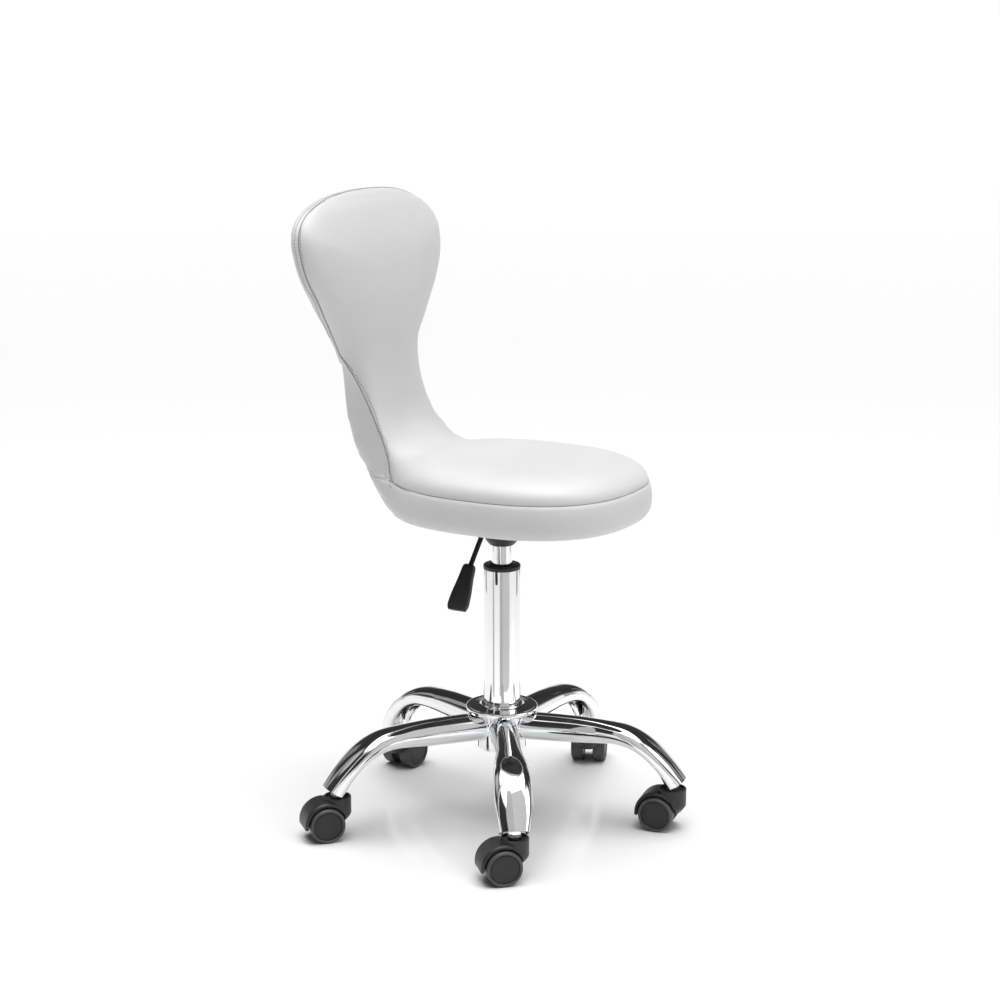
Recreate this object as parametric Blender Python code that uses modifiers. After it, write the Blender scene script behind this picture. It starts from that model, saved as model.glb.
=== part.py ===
# Rolling stylist stool: five-leg chromed base, gas lift, leatherette seat with a low back.
# Metres, +Z up.  The sitter faces -Y, so the sitter's right hand is on -X.
import bpy
import bmesh
import math
from mathutils import Vector, Matrix

for o in list(bpy.data.objects):
    bpy.data.objects.remove(o, do_unlink=True)

# ------------------------------------------------------------------ dimensions
OX, OY = -0.0219, 0.0006      # where the column's axis stands from the origin
GAP = 0.0003                   # air between touching pieces

LEG_ANGLE0 = 213.85            # first leg, degrees from +X
LEG_R = 0.2355                 # column axis to caster stem
CASTER_YAW = (134.0, 100.6, 22.0, 354.0, 138.2)   # world direction of each caster's trail
LEG_PATH = (                   # (run, height, thickness, width, dip in degrees, roundness)
    (0.0240, 0.1283, 0.0380, 0.0380, 0, 2.0),
    (0.0520, 0.1283, 0.0378, 0.0380, 0, 2.0),
    (0.1000, 0.1285, 0.0358, 0.0370, 0, 2.1),
    (0.1300, 0.1283, 0.0322, 0.0368, 0, 2.2),
    (0.1500, 0.1278, 0.0288, 0.0400, 4, 2.3),
    (0.1722, 0.1248, 0.0266, 0.0445, 14, 2.4),
    (0.1944, 0.1151, 0.0244, 0.0490, 33, 2.4),
    (0.2143, 0.0993, 0.0240, 0.0495, 45, 2.4),
    (0.2293, 0.0821, 0.0254, 0.0465, 57, 2.4),
    (0.2410, 0.0641, 0.0284, 0.0415, 67, 2.3),
)
LEG_WALL = 0.0022

HUB_R, HUB_Z0, HUB_Z1 = 0.0330, 0.0970, 0.1482
TUBE_R, TUBE_IR, TUBE_Z0, TUBE_Z1 = 0.0250, 0.0225, 0.0995, 0.3463
ROD_R = 0.0050
CYL_R, CYL_IR, CYL_Z0, CYL_Z1 = 0.0140, 0.0122, 0.1600, 0.4140
LIFT_TRAVEL = 0.130

WHEEL_R, WHEEL_W, WHEEL_IN = 0.0235, 0.0178, 0.0069
WHEEL_SIDES = 22
TRAIL = 0.0180
HOOD_R, HOOD_HALF = 0.0300, 0.0205
AXLE_R = 0.0030
STEM_R = 0.0055

# seat plan: superellipse about (SEAT_U, 0); u forward of the column, v to the sitter's right
SEAT_U, SEAT_A, SEAT_B, SEAT_N = 0.0270, 0.1650, 0.1470, 2.45
SEAT_SIDES = 36
SEAM_Z = 0.4705
REAR_CUT = -0.1220
# (height, front surface, parting line, rear surface, half width)
BACK = (
    (0.4780, -0.0800, -0.1225, -0.1810, 0.0850),
    (0.4900, -0.0640, -0.1245, -0.1860, 0.0820),
    (0.5030, -0.0700, -0.1310, -0.1915, 0.0775),
    (0.5065, -0.0960, -0.1335, -0.1930, 0.0755),
    (0.5120, -0.1180, -0.1370, -0.1950, 0.0735),
    (0.5200, -0.1335, -0.1425, -0.1985, 0.0705),
    (0.5320, -0.1435, -0.1505, -0.2035, 0.0680),
    (0.5480, -0.1500, -0.1590, -0.2085, 0.0670),
    (0.5700, -0.1550, -0.1690, -0.2125, 0.0685),
    (0.6000, -0.1590, -0.1830, -0.2145, 0.0745),
    (0.6300, -0.1600, -0.1960, -0.2150, 0.0880),
    (0.6700, -0.1565, -0.2005, -0.2130, 0.1120),
    (0.7200, -0.1605, -0.2040, -0.2165, 0.1490),
    (0.7600, -0.1680, -0.2090, -0.2225, 0.1650),
    (0.7830, -0.1745, -0.2135, -0.2265, 0.1660),
    (0.8050, -0.1825, -0.2175, -0.2295, 0.1535),
    (0.8210, -0.1885, -0.2195, -0.2300, 0.1285),
    (0.8325, -0.1950, -0.2205, -0.2285, 0.0950),
    (0.8400, -0.2050, -0.2205, -0.2255, 0.0490),
)
COVER = (                       # lower rear cover: (height, parting, rear, half width, power)
    (0.4240, -0.1220, -0.1420, 0.0800, 2.2),
    (0.4290, -0.1220, -0.1480, 0.0900, 2.2),
    (0.4370, -0.1220, -0.1530, 0.0950, 2.2),
    (0.4460, -0.1220, -0.1585, 0.0960, 2.2),
    (0.4600, -0.1220, -0.1680, 0.0930, 2.2),
    (0.4720, -0.1222, -0.1775, 0.0900, 2.3),
    (0.4900, -0.1245, -0.1915, 0.0860, 2.4),
    (0.5120, -0.1370, -0.2040, 0.0770, 2.5),
    (0.5320, -0.1508, -0.2115, 0.0725, 2.6),
    (0.5480, -0.1590, -0.2155, 0.0710, 2.6),
    (0.5700, -0.1690, -0.2185, 0.0710, 2.6),
    (0.6000, -0.1830, -0.2190, 0.0755, 2.6),
    (0.6180, -0.1910, -0.2180, 0.0825, 2.6),
    (0.6290, -0.1960, -0.2170, 0.0880, 2.6),
)
BOARD = (                       # bent board: (u, z, tilt of its face in degrees, half width)
    (0.1450, 0.4413, 0, 0.0800),
    (0.1200, 0.4413, 0, 0.1050),
    (0.0300, 0.4413, 0, 0.1200),
    (-0.0600, 0.4413, 0, 0.0950),
    (-0.1000, 0.4413, 6, 0.0600),
    (-0.1300, 0.4480, 26, 0.0480),
    (-0.1520, 0.4640, 47, 0.0450),
    (-0.1700, 0.4920, 62, 0.0450),
    (-0.1810, 0.5300, 76, 0.0450),
    (-0.1870, 0.5800, 86, 0.0470),
    (-0.1872, 0.6200, 88, 0.0550),
    (-0.1935, 0.6600, 86, 0.0780),
    (-0.1980, 0.7200, 84, 0.1080),
    (-0.2045, 0.7700, 81, 0.1150),
    (-0.2115, 0.8080, 82, 0.0900),
)
BOARD_T = 0.0080

# ------------------------------------------------------------------ collections, materials
scene = bpy.context.scene
COL = bpy.data.collections.new("rolling_stylist_stool")
CUT = bpy.data.collections.new("cutters")
scene.collection.children.link(COL)
scene.collection.children.link(CUT)


def material(name, rgb, rough, metal=0.0):
    m = bpy.data.materials.new(name)
    m.use_nodes = True
    b = m.node_tree.nodes["Principled BSDF"]
    b.inputs["Base Color"].default_value = (rgb[0], rgb[1], rgb[2], 1.0)
    b.inputs["Roughness"].default_value = rough
    b.inputs["Metallic"].default_value = metal
    m.diffuse_color = (rgb[0], rgb[1], rgb[2], 1.0)
    return m


LOOK = {
    "chrome": ((0.80, 0.80, 0.82), 0.08, 1.0),
    "steel": ((0.55, 0.55, 0.57), 0.30, 1.0),
    "black": ((0.02, 0.02, 0.022), 0.40, 0.0),
    "grey": ((0.10, 0.10, 0.11), 0.60, 0.0),
    "leather": ((0.86, 0.86, 0.86), 0.45, 0.0),
    "cloth": ((0.05, 0.05, 0.05), 0.90, 0.0),
    "wood": ((0.62, 0.46, 0.30), 0.60, 0.0),
    "brass": ((0.75, 0.60, 0.30), 0.30, 1.0),
}


def finish(obj, look, origin, cutter=False, smooth=True):
    """Put the mesh (drawn in column coordinates) in the world with its origin at `origin`."""
    me = obj.data
    me.transform(Matrix.Translation(-Vector(origin)))
    obj.location = (origin[0] + OX, origin[1] + OY, origin[2])
    settle(obj, look, cutter, smooth)
    return obj


def settle(obj, look, cutter=False, smooth=True):
    if cutter:
        CUT.objects.link(obj)
        obj.hide_render = True
        obj.display_type = "WIRE"
        return
    COL.objects.link(obj)
    rgb, rough, metal = LOOK[look]
    obj.data.materials.append(material(obj.name, rgb, rough, metal))
    if smooth:
        obj.data.shade_smooth()
        obj.data.set_sharp_from_angle(angle=math.radians(35))


# ------------------------------------------------------------------ builders
def mesh_object(name, verts, faces):
    me = bpy.data.meshes.new(name)
    me.from_pydata([tuple(v) for v in verts], [], faces)
    bm = bmesh.new()
    bm.from_mesh(me)
    bmesh.ops.triangulate(bm, faces=[f for f in bm.faces if len(f.verts) == 4], quad_method="FIXED")
    bmesh.ops.recalc_face_normals(bm, faces=bm.faces)
    bm.to_mesh(me)
    bm.free()
    me.update()
    return bpy.data.objects.new(name, me)


def loft(name, rings):
    """Closed skin over rings of equal length, with an n-gon at each end."""
    n = len(rings[0])
    verts = [p for r in rings for p in r]
    faces = []
    for i in range(len(rings) - 1):
        for j in range(n):
            k = (j + 1) % n
            faces.append((i * n + j, i * n + k, (i + 1) * n + k, (i + 1) * n + j))
    faces.append(tuple(range(n)))
    faces.append(tuple((len(rings) - 1) * n + j for j in range(n)))
    return mesh_object(name, verts, faces)


def turned(name, profile, sides, look, at, matrix=None, closed=True, cutter=False, smooth=True):
    """Profile (radius, height) run down the outer side, spun by a Screw modifier."""
    me = bpy.data.meshes.new(name)
    n = len(profile)
    edges = [(i, i + 1) for i in range(n - 1)]
    if closed:
        edges.append((n - 1, 0))
    me.from_pydata([(r, 0.0, z) for r, z in profile], edges, [])
    obj = bpy.data.objects.new(name, me)
    m = obj.modifiers.new("spin", "SCREW")
    m.axis = "Z"
    m.angle = 2 * math.pi
    m.steps = sides
    m.render_steps = sides
    m.use_merge_vertices = True
    m.merge_threshold = 0.00005
    m.use_smooth_shade = smooth
    obj.matrix_world = Matrix.Translation((at[0] + OX, at[1] + OY, at[2])) @ (matrix or Matrix.Identity(4))
    if cutter:
        CUT.objects.link(obj)
        obj.hide_render = True
        obj.display_type = "WIRE"
    else:
        COL.objects.link(obj)
        rgb, rough, metal = LOOK[look]
        obj.data.materials.append(material(name, rgb, rough, metal))
    return obj


def box(name, size, centre, look="black", cutter=False, bevel=0.0, matrix=None, origin=None):
    bm = bmesh.new()
    bmesh.ops.create_cube(bm, size=1.0)
    bmesh.ops.scale(bm, vec=size, verts=bm.verts)
    if bevel:
        bmesh.ops.bevel(bm, geom=list(bm.edges), offset=bevel, segments=2, affect="EDGES", profile=0.5)
    if matrix is not None:
        bmesh.ops.transform(bm, matrix=matrix, verts=bm.verts)
    bmesh.ops.translate(bm, vec=centre, verts=bm.verts)
    me = bpy.data.meshes.new(name)
    bm.to_mesh(me)
    bm.free()
    return finish(bpy.data.objects.new(name, me), look, origin or centre, cutter)


def prism(name, outline, y0, y1):
    """Outline in (x, z), drawn out along y."""
    a = [(x, y0, z) for x, z in outline]
    b = [(x, y1, z) for x, z in outline]
    return loft(name, [a, b])


def boolean(obj, cutter, op="DIFFERENCE"):
    m = obj.modifiers.new("cut_" + cutter.name, "BOOLEAN")
    m.operation = op
    m.solver = "EXACT"
    m.object = cutter
    return m


def bake(obj):
    """Replace the object's modifiers by their result."""
    bpy.context.view_layer.update()
    dg = bpy.context.evaluated_depsgraph_get()
    me = bpy.data.meshes.new_from_object(obj.evaluated_get(dg))
    bm = bmesh.new()
    bm.from_mesh(me)
    bmesh.ops.remove_doubles(bm, verts=bm.verts, dist=0.00002)
    bmesh.ops.dissolve_degenerate(bm, dist=0.00001, edges=bm.edges)
    bm.to_mesh(me)
    bm.free()
    old = obj.data
    obj.modifiers.clear()
    obj.data = me
    if not me.materials and old.materials:
        me.materials.append(old.materials[0])
    me.shade_smooth()
    me.set_sharp_from_angle(angle=math.radians(35))


def power_ring(n, count, a, b, phase=0.0):
    out = []
    for i in range(count):
        t = 2 * math.pi * (i + phase) / count
        c, s = math.cos(t), math.sin(t)
        out.append((a * math.copysign(abs(c) ** (2 / n), c), b * math.copysign(abs(s) ** (2 / n), s)))
    return out


def uv(u, v, z):
    return (-v, -u, z)


# ------------------------------------------------------------------ column
turned("base_hub", [(HUB_R - 0.0012, HUB_Z1), (HUB_R, HUB_Z1 - 0.001), (HUB_R, HUB_Z0 + 0.0012),
                    (HUB_R - 0.0012, HUB_Z0), (TUBE_R + GAP, HUB_Z0), (TUBE_R + GAP, HUB_Z1)],
       28, "chrome", (0, 0, 0))
turned("hub_flange", [(0.0278, 0.1592), (0.0300, 0.1575), (0.0305, 0.1562), (0.0462, 0.1548), (0.0487, 0.1530),
                      (0.0487, 0.1502), (0.0470, 0.1485), (TUBE_R + GAP, 0.1485), (TUBE_R + GAP, 0.1592)],
       28, "chrome", (0, 0, 0))
turned("column_tube", [(TUBE_R, TUBE_Z1), (TUBE_R, TUBE_Z0), (TUBE_IR, TUBE_Z0), (TUBE_IR, TUBE_Z1)],
       28, "chrome", (0, 0, 0))
turned("column_bushing", [(0.0167, 0.3535), (0.0176, 0.3520), (0.0240, 0.3517), (TUBE_R, 0.3507),
                          (TUBE_R, TUBE_Z1 + GAP), (TUBE_IR - GAP, TUBE_Z1 + GAP), (TUBE_IR - GAP, 0.2700),
                          (CYL_R + GAP, 0.2700), (CYL_R + GAP, 0.3535)],
       28, "black", (0, 0, 0))
turned("column_base_plate", [(TUBE_IR - GAP, 0.1075), (TUBE_IR - GAP, 0.1035), (ROD_R + GAP, 0.1035),
                             (ROD_R + GAP, 0.1075)], 24, "steel", (0, 0, 0))
turned("thrust_bearing", [(0.0105, 0.1127), (0.0105, 0.1078), (ROD_R + GAP, 0.1078), (ROD_R + GAP, 0.1127)],
       24, "steel", (0, 0, 0))
turned("piston_rod", [(0.0, 0.3300), (0.0116, 0.3300), (0.0116, 0.3200), (ROD_R, 0.3180), (ROD_R, 0.1165),
                      (0.0090, 0.1165), (0.0090, 0.1130), (ROD_R, 0.1130), (ROD_R, 0.0985), (0.0, 0.0985)],
       20, "steel", (0, 0, 0), closed=False)
turned("rod_clip", [(0.0090, 0.1030), (0.0090, 0.1005), (ROD_R + GAP, 0.1005), (ROD_R + GAP, 0.1030)],
       20, "steel", (0, 0, 0))
turned("gas_cylinder", [(0.0, 0.4045), (0.0043, 0.4045), (0.0043, CYL_Z1), (0.0128, CYL_Z1), (CYL_R, 0.4110),
                        (CYL_R, CYL_Z0), (CYL_IR, CYL_Z0), (CYL_IR, 0.3980), (0.0, 0.3980)],
       24, "chrome", (0, 0, 0), closed=False)
turned("cylinder_guide", [(CYL_IR - GAP, 0.1760), (CYL_IR - GAP, 0.1605), (ROD_R + GAP, 0.1605),
                          (ROD_R + GAP, 0.1760)], 20, "black", (0, 0, 0))
turned("valve_pin", [(0.0, 0.4190), (0.0034, 0.4190), (0.0040, 0.4183), (0.0040, 0.4080), (0.0, 0.4080)],
       16, "brass", (0, 0, 0), closed=False)

# ------------------------------------------------------------------ legs
LEG_SIDES = 14


def leg_rings(stations, inset, sides):
    rings = []
    for s, z, t, w, dip, n in stations:
        d = math.radians(dip)
        up = (math.sin(d), math.cos(d))          # across the tube's thickness, in (run, height)
        ring = []
        for a, b in power_ring(n, sides, w / 2 - inset, t / 2 - inset, 0.5):
            ring.append((s + up[0] * b, a, z + up[1] * b))
        rings.append(ring)
    return rings


def extend(stations, start, end):
    """Push the first and last station outward along the tube."""
    out = [list(q) for q in stations]
    d = math.radians(out[0][4])
    out[0][0] -= start * math.cos(d)
    out[0][1] += start * math.sin(d)
    d = math.radians(out[-1][4])
    out[-1][0] += end * math.cos(d)
    out[-1][1] -= end * math.sin(d)
    return out


def slot_rings(stations, half):
    rings = []
    for i, (s, z, t, w, dip, n) in enumerate(stations):
        d = math.radians(dip)
        up = (math.sin(d), math.cos(d))
        h = half * (0.45, 0.85, 1.0, 1.0, 1.0, 1.0, 1.0)[min(i, 6)]
        ring = []
        for a, b in ((h, -t * 0.22), (-h, -t * 0.22), (-h, -t * 0.95), (h, -t * 0.95)):
            ring.append((s + up[0] * b, a, z + up[1] * b))
        rings.append(ring)
    return rings


hub_cutter = turned("cut_hub", [(0.0, 0.16), (HUB_R + GAP, 0.16), (HUB_R + GAP, 0.09), (0.0, 0.09)],
                    80, None, (0, 0, 0), closed=False, cutter=True)


def turn_about_column(obj, angle):
    obj.data.transform(Matrix.Rotation(math.radians(angle), 4, "Z"))


LEG_ANGLES = [LEG_ANGLE0 + 72.0 * k for k in range(5)]
for k, ang in enumerate(LEG_ANGLES):
    num = k + 1
    ca, sa = math.cos(math.radians(ang)), math.sin(math.radians(ang))
    stem_xy = (LEG_R * ca, LEG_R * sa)

    cavity = loft("cut_cavity_%d" % num, leg_rings(extend(LEG_PATH[5:], 0.016, 0.02), LEG_WALL, 12))
    turn_about_column(cavity, ang)
    finish(cavity, None, (0, 0, 0), cutter=True)
    slot = loft("cut_slot_%d" % num, slot_rings(extend(LEG_PATH[5:], 0.004, 0.02), 0.0125))
    turn_about_column(slot, ang)
    finish(slot, None, (0, 0, 0), cutter=True)
    fill = loft("cut_fill_%d" % num, leg_rings(extend(LEG_PATH[5:], 0.010, 0.02), LEG_WALL + GAP, 12))
    turn_about_column(fill, ang)
    finish(fill, None, (0, 0, 0), cutter=True)

    leg = loft("leg_%d" % num, leg_rings(LEG_PATH, 0.0, LEG_SIDES))
    turn_about_column(leg, ang)
    finish(leg, "chrome", (0, 0, 0))
    boolean(leg, hub_cutter)
    boolean(leg, cavity)
    boolean(leg, slot)
    bake(leg)

    sock = turned("leg_socket_%d" % num, [(0.0, 0.0960), (0.0088, 0.0960), (0.0088, 0.0610), (STEM_R + GAP, 0.0610),
                                          (STEM_R + GAP, 0.0752), (0.0, 0.0752)],
                  12, "chrome", (stem_xy[0], stem_xy[1], 0), closed=False)
    boolean(sock, fill, "INTERSECT")
    bake(sock)
    turned("caster_stem_%d" % num, [(0.0, 0.0745), (0.0045, 0.0745), (STEM_R, 0.0735), (STEM_R, 0.0606),
                                    (0.0085, 0.0606), (0.0085, 0.0552), (0.0, 0.0552)],
           12, "steel", (stem_xy[0], stem_xy[1], 0), closed=False)

    # ---------------------------------------------------------------- caster: x = trail, y = axle
    yaw = math.radians(CASTER_YAW[k])
    frame = Matrix.Rotation(yaw, 4, "Z")
    base = Vector((stem_xy[0], stem_xy[1], 0.0))
    turn = Matrix.Translation(base) @ frame

    hood = prism("caster_hood_%d" % num, [
        (TRAIL + HOOD_R * math.cos(math.radians(a)), WHEEL_R + HOOD_R * math.sin(math.radians(a)))
        for a in range(-8, 119, 14)] + [(-0.0010, 0.0470), (-0.0010, 0.0300), (0.0060, 0.0240), (0.0140, 0.0190)],
        -HOOD_HALF, HOOD_HALF)
    hood.data.transform(turn)
    finish(hood, "black", (stem_xy[0], stem_xy[1], 0.0))

    neck = turned("cut_neck_%d" % num, [(0.0, 0.0548), (0.0155, 0.0548), (0.0158, 0.0572), (0.0176, 0.0572), (0.0186, 0.0562),
                                        (0.0186, 0.0325), (0.0118, 0.0240), (0.0, 0.0240)],
                  18, None, (stem_xy[0], stem_xy[1], 0), closed=False, cutter=True)
    clear = []
    for side in (1, -1):
        m = frame @ Matrix.Translation((TRAIL, 0, WHEEL_R)) @ Matrix.Rotation(-side * math.pi / 2, 4, "X")
        clear.append(turned("cut_wheel_%d%s" % (num, "ab"[side < 0]),
                            [(0.0, 0.0400), (WHEEL_R + 0.0027, 0.0400), (WHEEL_R + 0.0027, 0.0064), (0.0, 0.0064)],
                            22, None, (stem_xy[0], stem_xy[1], 0), m, closed=False, cutter=True))
    m = frame @ Matrix.Translation((TRAIL, 0, WHEEL_R)) @ Matrix.Rotation(-math.pi / 2, 4, "X")
    bore = turned("cut_axle_%d" % num, [(0.0, 0.03), (AXLE_R + GAP, 0.03), (AXLE_R + GAP, -0.03), (0.0, -0.03)],
                  12, None, (stem_xy[0], stem_xy[1], 0), m, closed=False, cutter=True)
    boolean(hood, neck, "UNION")
    boolean(hood, clear[0])
    boolean(hood, clear[1])
    boolean(hood, bore)
    bake(hood)

 
    turned("caster_axle_%d" % num, [(0.0, 0.0220), (AXLE_R, 0.0220), (AXLE_R, -0.0220), (0.0, -0.0220)],
           12, "steel", (stem_xy[0], stem_xy[1], 0), m, closed=False)
    apo = WHEEL_R / math.cos(math.pi / WHEEL_SIDES)
    for side, tag in ((1, "a"), (-1, "b")):
        y0, y1 = WHEEL_IN, WHEEL_IN + WHEEL_W
        # local X points a half facet away from straight down, so that a facet lies flat on the floor
        spin = Matrix.Rotation(math.pi / 2 + math.pi / WHEEL_SIDES, 4, "Z")
        wm = frame @ Matrix.Translation((TRAIL, 0, WHEEL_R)) @ Matrix.Rotation(-side * math.pi / 2, 4, "X") @ spin
        wpos = wm.to_translation()
        rot = wm.to_3x3().to_4x4()
        turned("caster_wheel_%d%s" % (num, tag),
               [(0.0, y1 - 0.0010), (0.0198, y1 - 0.0010), (apo - 0.0024, y1), (apo, y1 - 0.0026),
                (apo, y0 + 0.0012), (apo - 0.0012, y0), (AXLE_R + GAP, y0), (AXLE_R + GAP, y1 - 0.0024),
                (0.0, y1 - 0.0024)],
               WHEEL_SIDES, "black", (stem_xy[0] + wpos.x, stem_xy[1] + wpos.y, wpos.z), rot, closed=False)

# ------------------------------------------------------------------ seat support
turned("taper_socket", [(0.0185, 0.4112), (0.0185, 0.3890), (CYL_R + GAP, 0.3890), (CYL_R + GAP, 0.4112)],
       28, "steel", (0, 0, 0))
turned("dust_cup", [(0.0232, 0.4042), (0.0245, 0.4030), (0.0245, 0.3945), (0.0222, 0.3858), (0.0172, 0.3797),
                    (0.0155, 0.3786), (CYL_R + 0.0005, 0.3786), (CYL_R + 0.0005, 0.3815), (0.0194, 0.3880),
                    (0.0215, 0.3955), (0.0215, 0.4042)], 24, "black", (0, 0, 0))
housing = box("lift_housing", (0.0560, 0.1000, 0.0249), (0.0, 0.0, 0.41695), "steel", bevel=0.003, origin=(0, 0, 0))
c1 = turned("cut_taper", [(0.0, 0.4115), (0.0188, 0.4115), (0.0188, 0.3900), (0.0, 0.3900)], 28, None, (0, 0, 0),
            closed=False, cutter=True)
c2 = turned("cut_top", [(0.0, 0.4200), (0.0146, 0.4200), (0.0146, 0.3900), (0.0, 0.3900)], 28, None, (0, 0, 0),
            closed=False, cutter=True)
c3 = box("cut_channel", (0.0600, 0.0110, 0.0200), (-0.0180, 0.0, 0.4244), cutter=True)
boolean(housing, c1)
boolean(housing, c2)
boolean(housing, c3)
bake(housing)
box("mount_plate", (0.1300, 0.1500, 0.0030), (0.0, -0.0100, 0.4312), "steel")

# ------------------------------------------------------------------ lever
LEVER_PIVOT = (-0.0240, 0.0, 0.4225)
rod_path = [(0.0030, 0.4225), (-0.0310, 0.4225), (-0.0360, 0.4208), (-0.0395, 0.4170), (-0.0920, 0.3560)]
cu = bpy.data.curves.new("lever_rod", "CURVE")
cu.dimensions = "3D"
sp = cu.splines.new("POLY")
sp.points.add(len(rod_path) - 1)
for p, (x, z) in zip(sp.points, rod_path):
    p.co = (x, 0.0, z, 1.0)
cu.bevel_depth = 0.0033
cu.bevel_resolution = 3
cu.use_fill_caps = True
tmp = bpy.data.objects.new("lever_rod_curve", cu)
scene.collection.objects.link(tmp)
bpy.context.view_layer.update()
me = bpy.data.meshes.new_from_object(tmp.evaluated_get(bpy.context.evaluated_depsgraph_get()))
bpy.data.objects.remove(tmp, do_unlink=True)
bm = bmesh.new()
bm.from_mesh(me)
bmesh.ops.remove_doubles(bm, verts=bm.verts, dist=0.00002)
bmesh.ops.recalc_face_normals(bm, faces=bm.faces)
bm.to_mesh(me)
bm.free()
me.name = "lever_rod"
finish(bpy.data.objects.new("lever_rod", me), "steel", LEVER_PIVOT)

PADDLE = ((0.0000, 0.0140, 0.0086), (0.0030, 0.0170, 0.0100), (0.0200, 0.0205, 0.0100), (0.0440, 0.0280, 0.0096),
          (0.0560, 0.0292, 0.0090), (0.0630, 0.0250, 0.0064))
p0, p1 = Vector((-0.0835, 0.0, 0.3690)), Vector((-0.1160, 0.0, 0.3185))
axis = (p1 - p0).normalized()
face = Vector((axis.z, 0, -axis.x))
if face.z < 0:
    face = -face
rings = []
for d, w, t in PADDLE:
    c = p0 + axis * d
    ring = []
    for a, b in power_ring(4.0, 16, w / 2, t / 2, 0.5):
        ring.append(c + Vector((0, a, 0)) + face * b)
    rings.append(ring)
paddle = loft("lever_paddle", rings)
finish(paddle, "black", LEVER_PIVOT)
q0, q1 = Vector((rod_path[3][0], 0, rod_path[3][1])), Vector((rod_path[4][0], 0, rod_path[4][1]))
dr = (q1 - q0).normalized()
rm = dr.to_track_quat("Z", "Y").to_matrix().to_4x4()
pocket = turned("cut_rod", [(0.0, GAP), (0.0033 + GAP, GAP), (0.0033 + GAP, -0.03), (0.0, -0.03)], 20, None,
                tuple(q1), rm, closed=False, cutter=True)
boolean(paddle, pocket)
bake(paddle)


# ------------------------------------------------------------------ upholstery
def seat_ring(off, z, sides=SEAT_SIDES):
    return [uv(SEAT_U + a, b, z) for a, b in power_ring(SEAT_N, sides, SEAT_A + off, SEAT_B + off)]


def board_rings(grow):
    rings = []
    for i, (u, z, tilt, w) in enumerate(BOARD):
        d = math.radians(tilt)
        n = (math.sin(d), math.cos(d))           # face normal in (u, z); it turns forward as the board rises
        t = BOARD_T / 2 + grow
        w2 = w + grow
        push = 0.0
        if i == 0:
            push = grow
        if i == len(BOARD) - 1:
            push = grow
        du, dz = (math.cos(d) * push, -math.sin(d) * push) if i == 0 else (-math.cos(d) * push, math.sin(d) * push)
        ring = []
        for a, b in ((t, w2 - 0.004), (t, -w2 + 0.004), (0.0, -w2), (-t, -w2 + 0.004), (-t, w2 - 0.004), (0.0, w2)):
            ring.append(uv(u + du + n[0] * a, b, z + dz + n[1] * a))
        rings.append(ring)
    return rings


board = loft("shell_board", board_rings(0.0))
finish(board, "wood", (0, 0, 0))
board_cut = loft("cut_board", board_rings(GAP))
finish(board_cut, None, (0, 0, 0), cutter=True)

rear_box = box("cut_rear", (0.40, 0.20, 0.10), (0.0, -REAR_CUT - GAP + 0.10, 0.455), cutter=True)

loft_uc = loft("under_cover", [seat_ring(-0.0170, 0.4330, 32), seat_ring(-0.0165, 0.4345, 32),
                               seat_ring(-0.0170, 0.4360, 32)])
finish(loft_uc, "cloth", (0, 0, 0))

HALF = 12


def d_ring(u_part, u_end, w, z, power, count=HALF):
    """A D-shaped section: flat across the parting line, rounded toward u_end."""
    d = u_end - u_part
    ring = []
    for i in range(count + 1):
        t = -math.pi / 2 + math.pi * i / count
        c, s = max(math.cos(t), 0.0), math.sin(t)
        ring.append(uv(u_part + d * c ** (2 / power), math.copysign(abs(s) ** (2 / power), s) * w, z))
    return ring


def cushion_rings(grow):
    rings = []
    for i, (z, f, p, r, w) in enumerate(BACK):
        zz = z - grow if i == 0 else z + (grow if i == len(BACK) - 1 else 0)
        rings.append(d_ring(p + GAP / 2 - grow, f + grow, w + grow, zz, 2.7))
    return rings


back_cushion = loft("back_cushion", cushion_rings(0.0))
finish(back_cushion, "leather", (0, 0, 0))
cushion_cut = loft("cut_cushion", cushion_rings(GAP))
finish(cushion_cut, None, (0, 0, 0), cutter=True)
boolean(back_cushion, board_cut)
bake(back_cushion)

panel_rows = [q for q in BACK if q[0] > 0.6299]
panel_rings = []
for i, (z, f, p, r, w) in enumerate(panel_rows):
    panel_rings.append(d_ring(p - GAP / 2, r, w - 0.0006, z + (0.0010 if i == 0 else 0.0), 2.7))
panel = loft("back_panel", panel_rings)
finish(panel, "leather", (0, 0, 0))

cover = loft("back_cover", [d_ring(p - GAP / 2, r, w, z, n) for z, p, r, w, n in COVER])
finish(cover, "leather", (0, 0, 0))
boolean(cover, board_cut)
bake(cover)

# seat cushion: core inside the boxing band, crowned top that meets it at the seam
cushion = loft("seat_cushion", [
    seat_ring(-0.0128, 0.4466), seat_ring(-0.0128, SEAM_Z + GAP), seat_ring(-0.0002, SEAM_Z + GAP),
    seat_ring(-0.0025, 0.4785), seat_ring(-0.0075, 0.4870), seat_ring(-0.0165, 0.4942),
    seat_ring(-0.0300, 0.4992), seat_ring(-0.0550, 0.5022), seat_ring(-0.1000, 0.5036)])
finish(cushion, "leather", (0, 0, 0))
boolean(cushion, rear_box)
boolean(cushion, board_cut)
boolean(cushion, cushion_cut)
bake(cushion)

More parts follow.
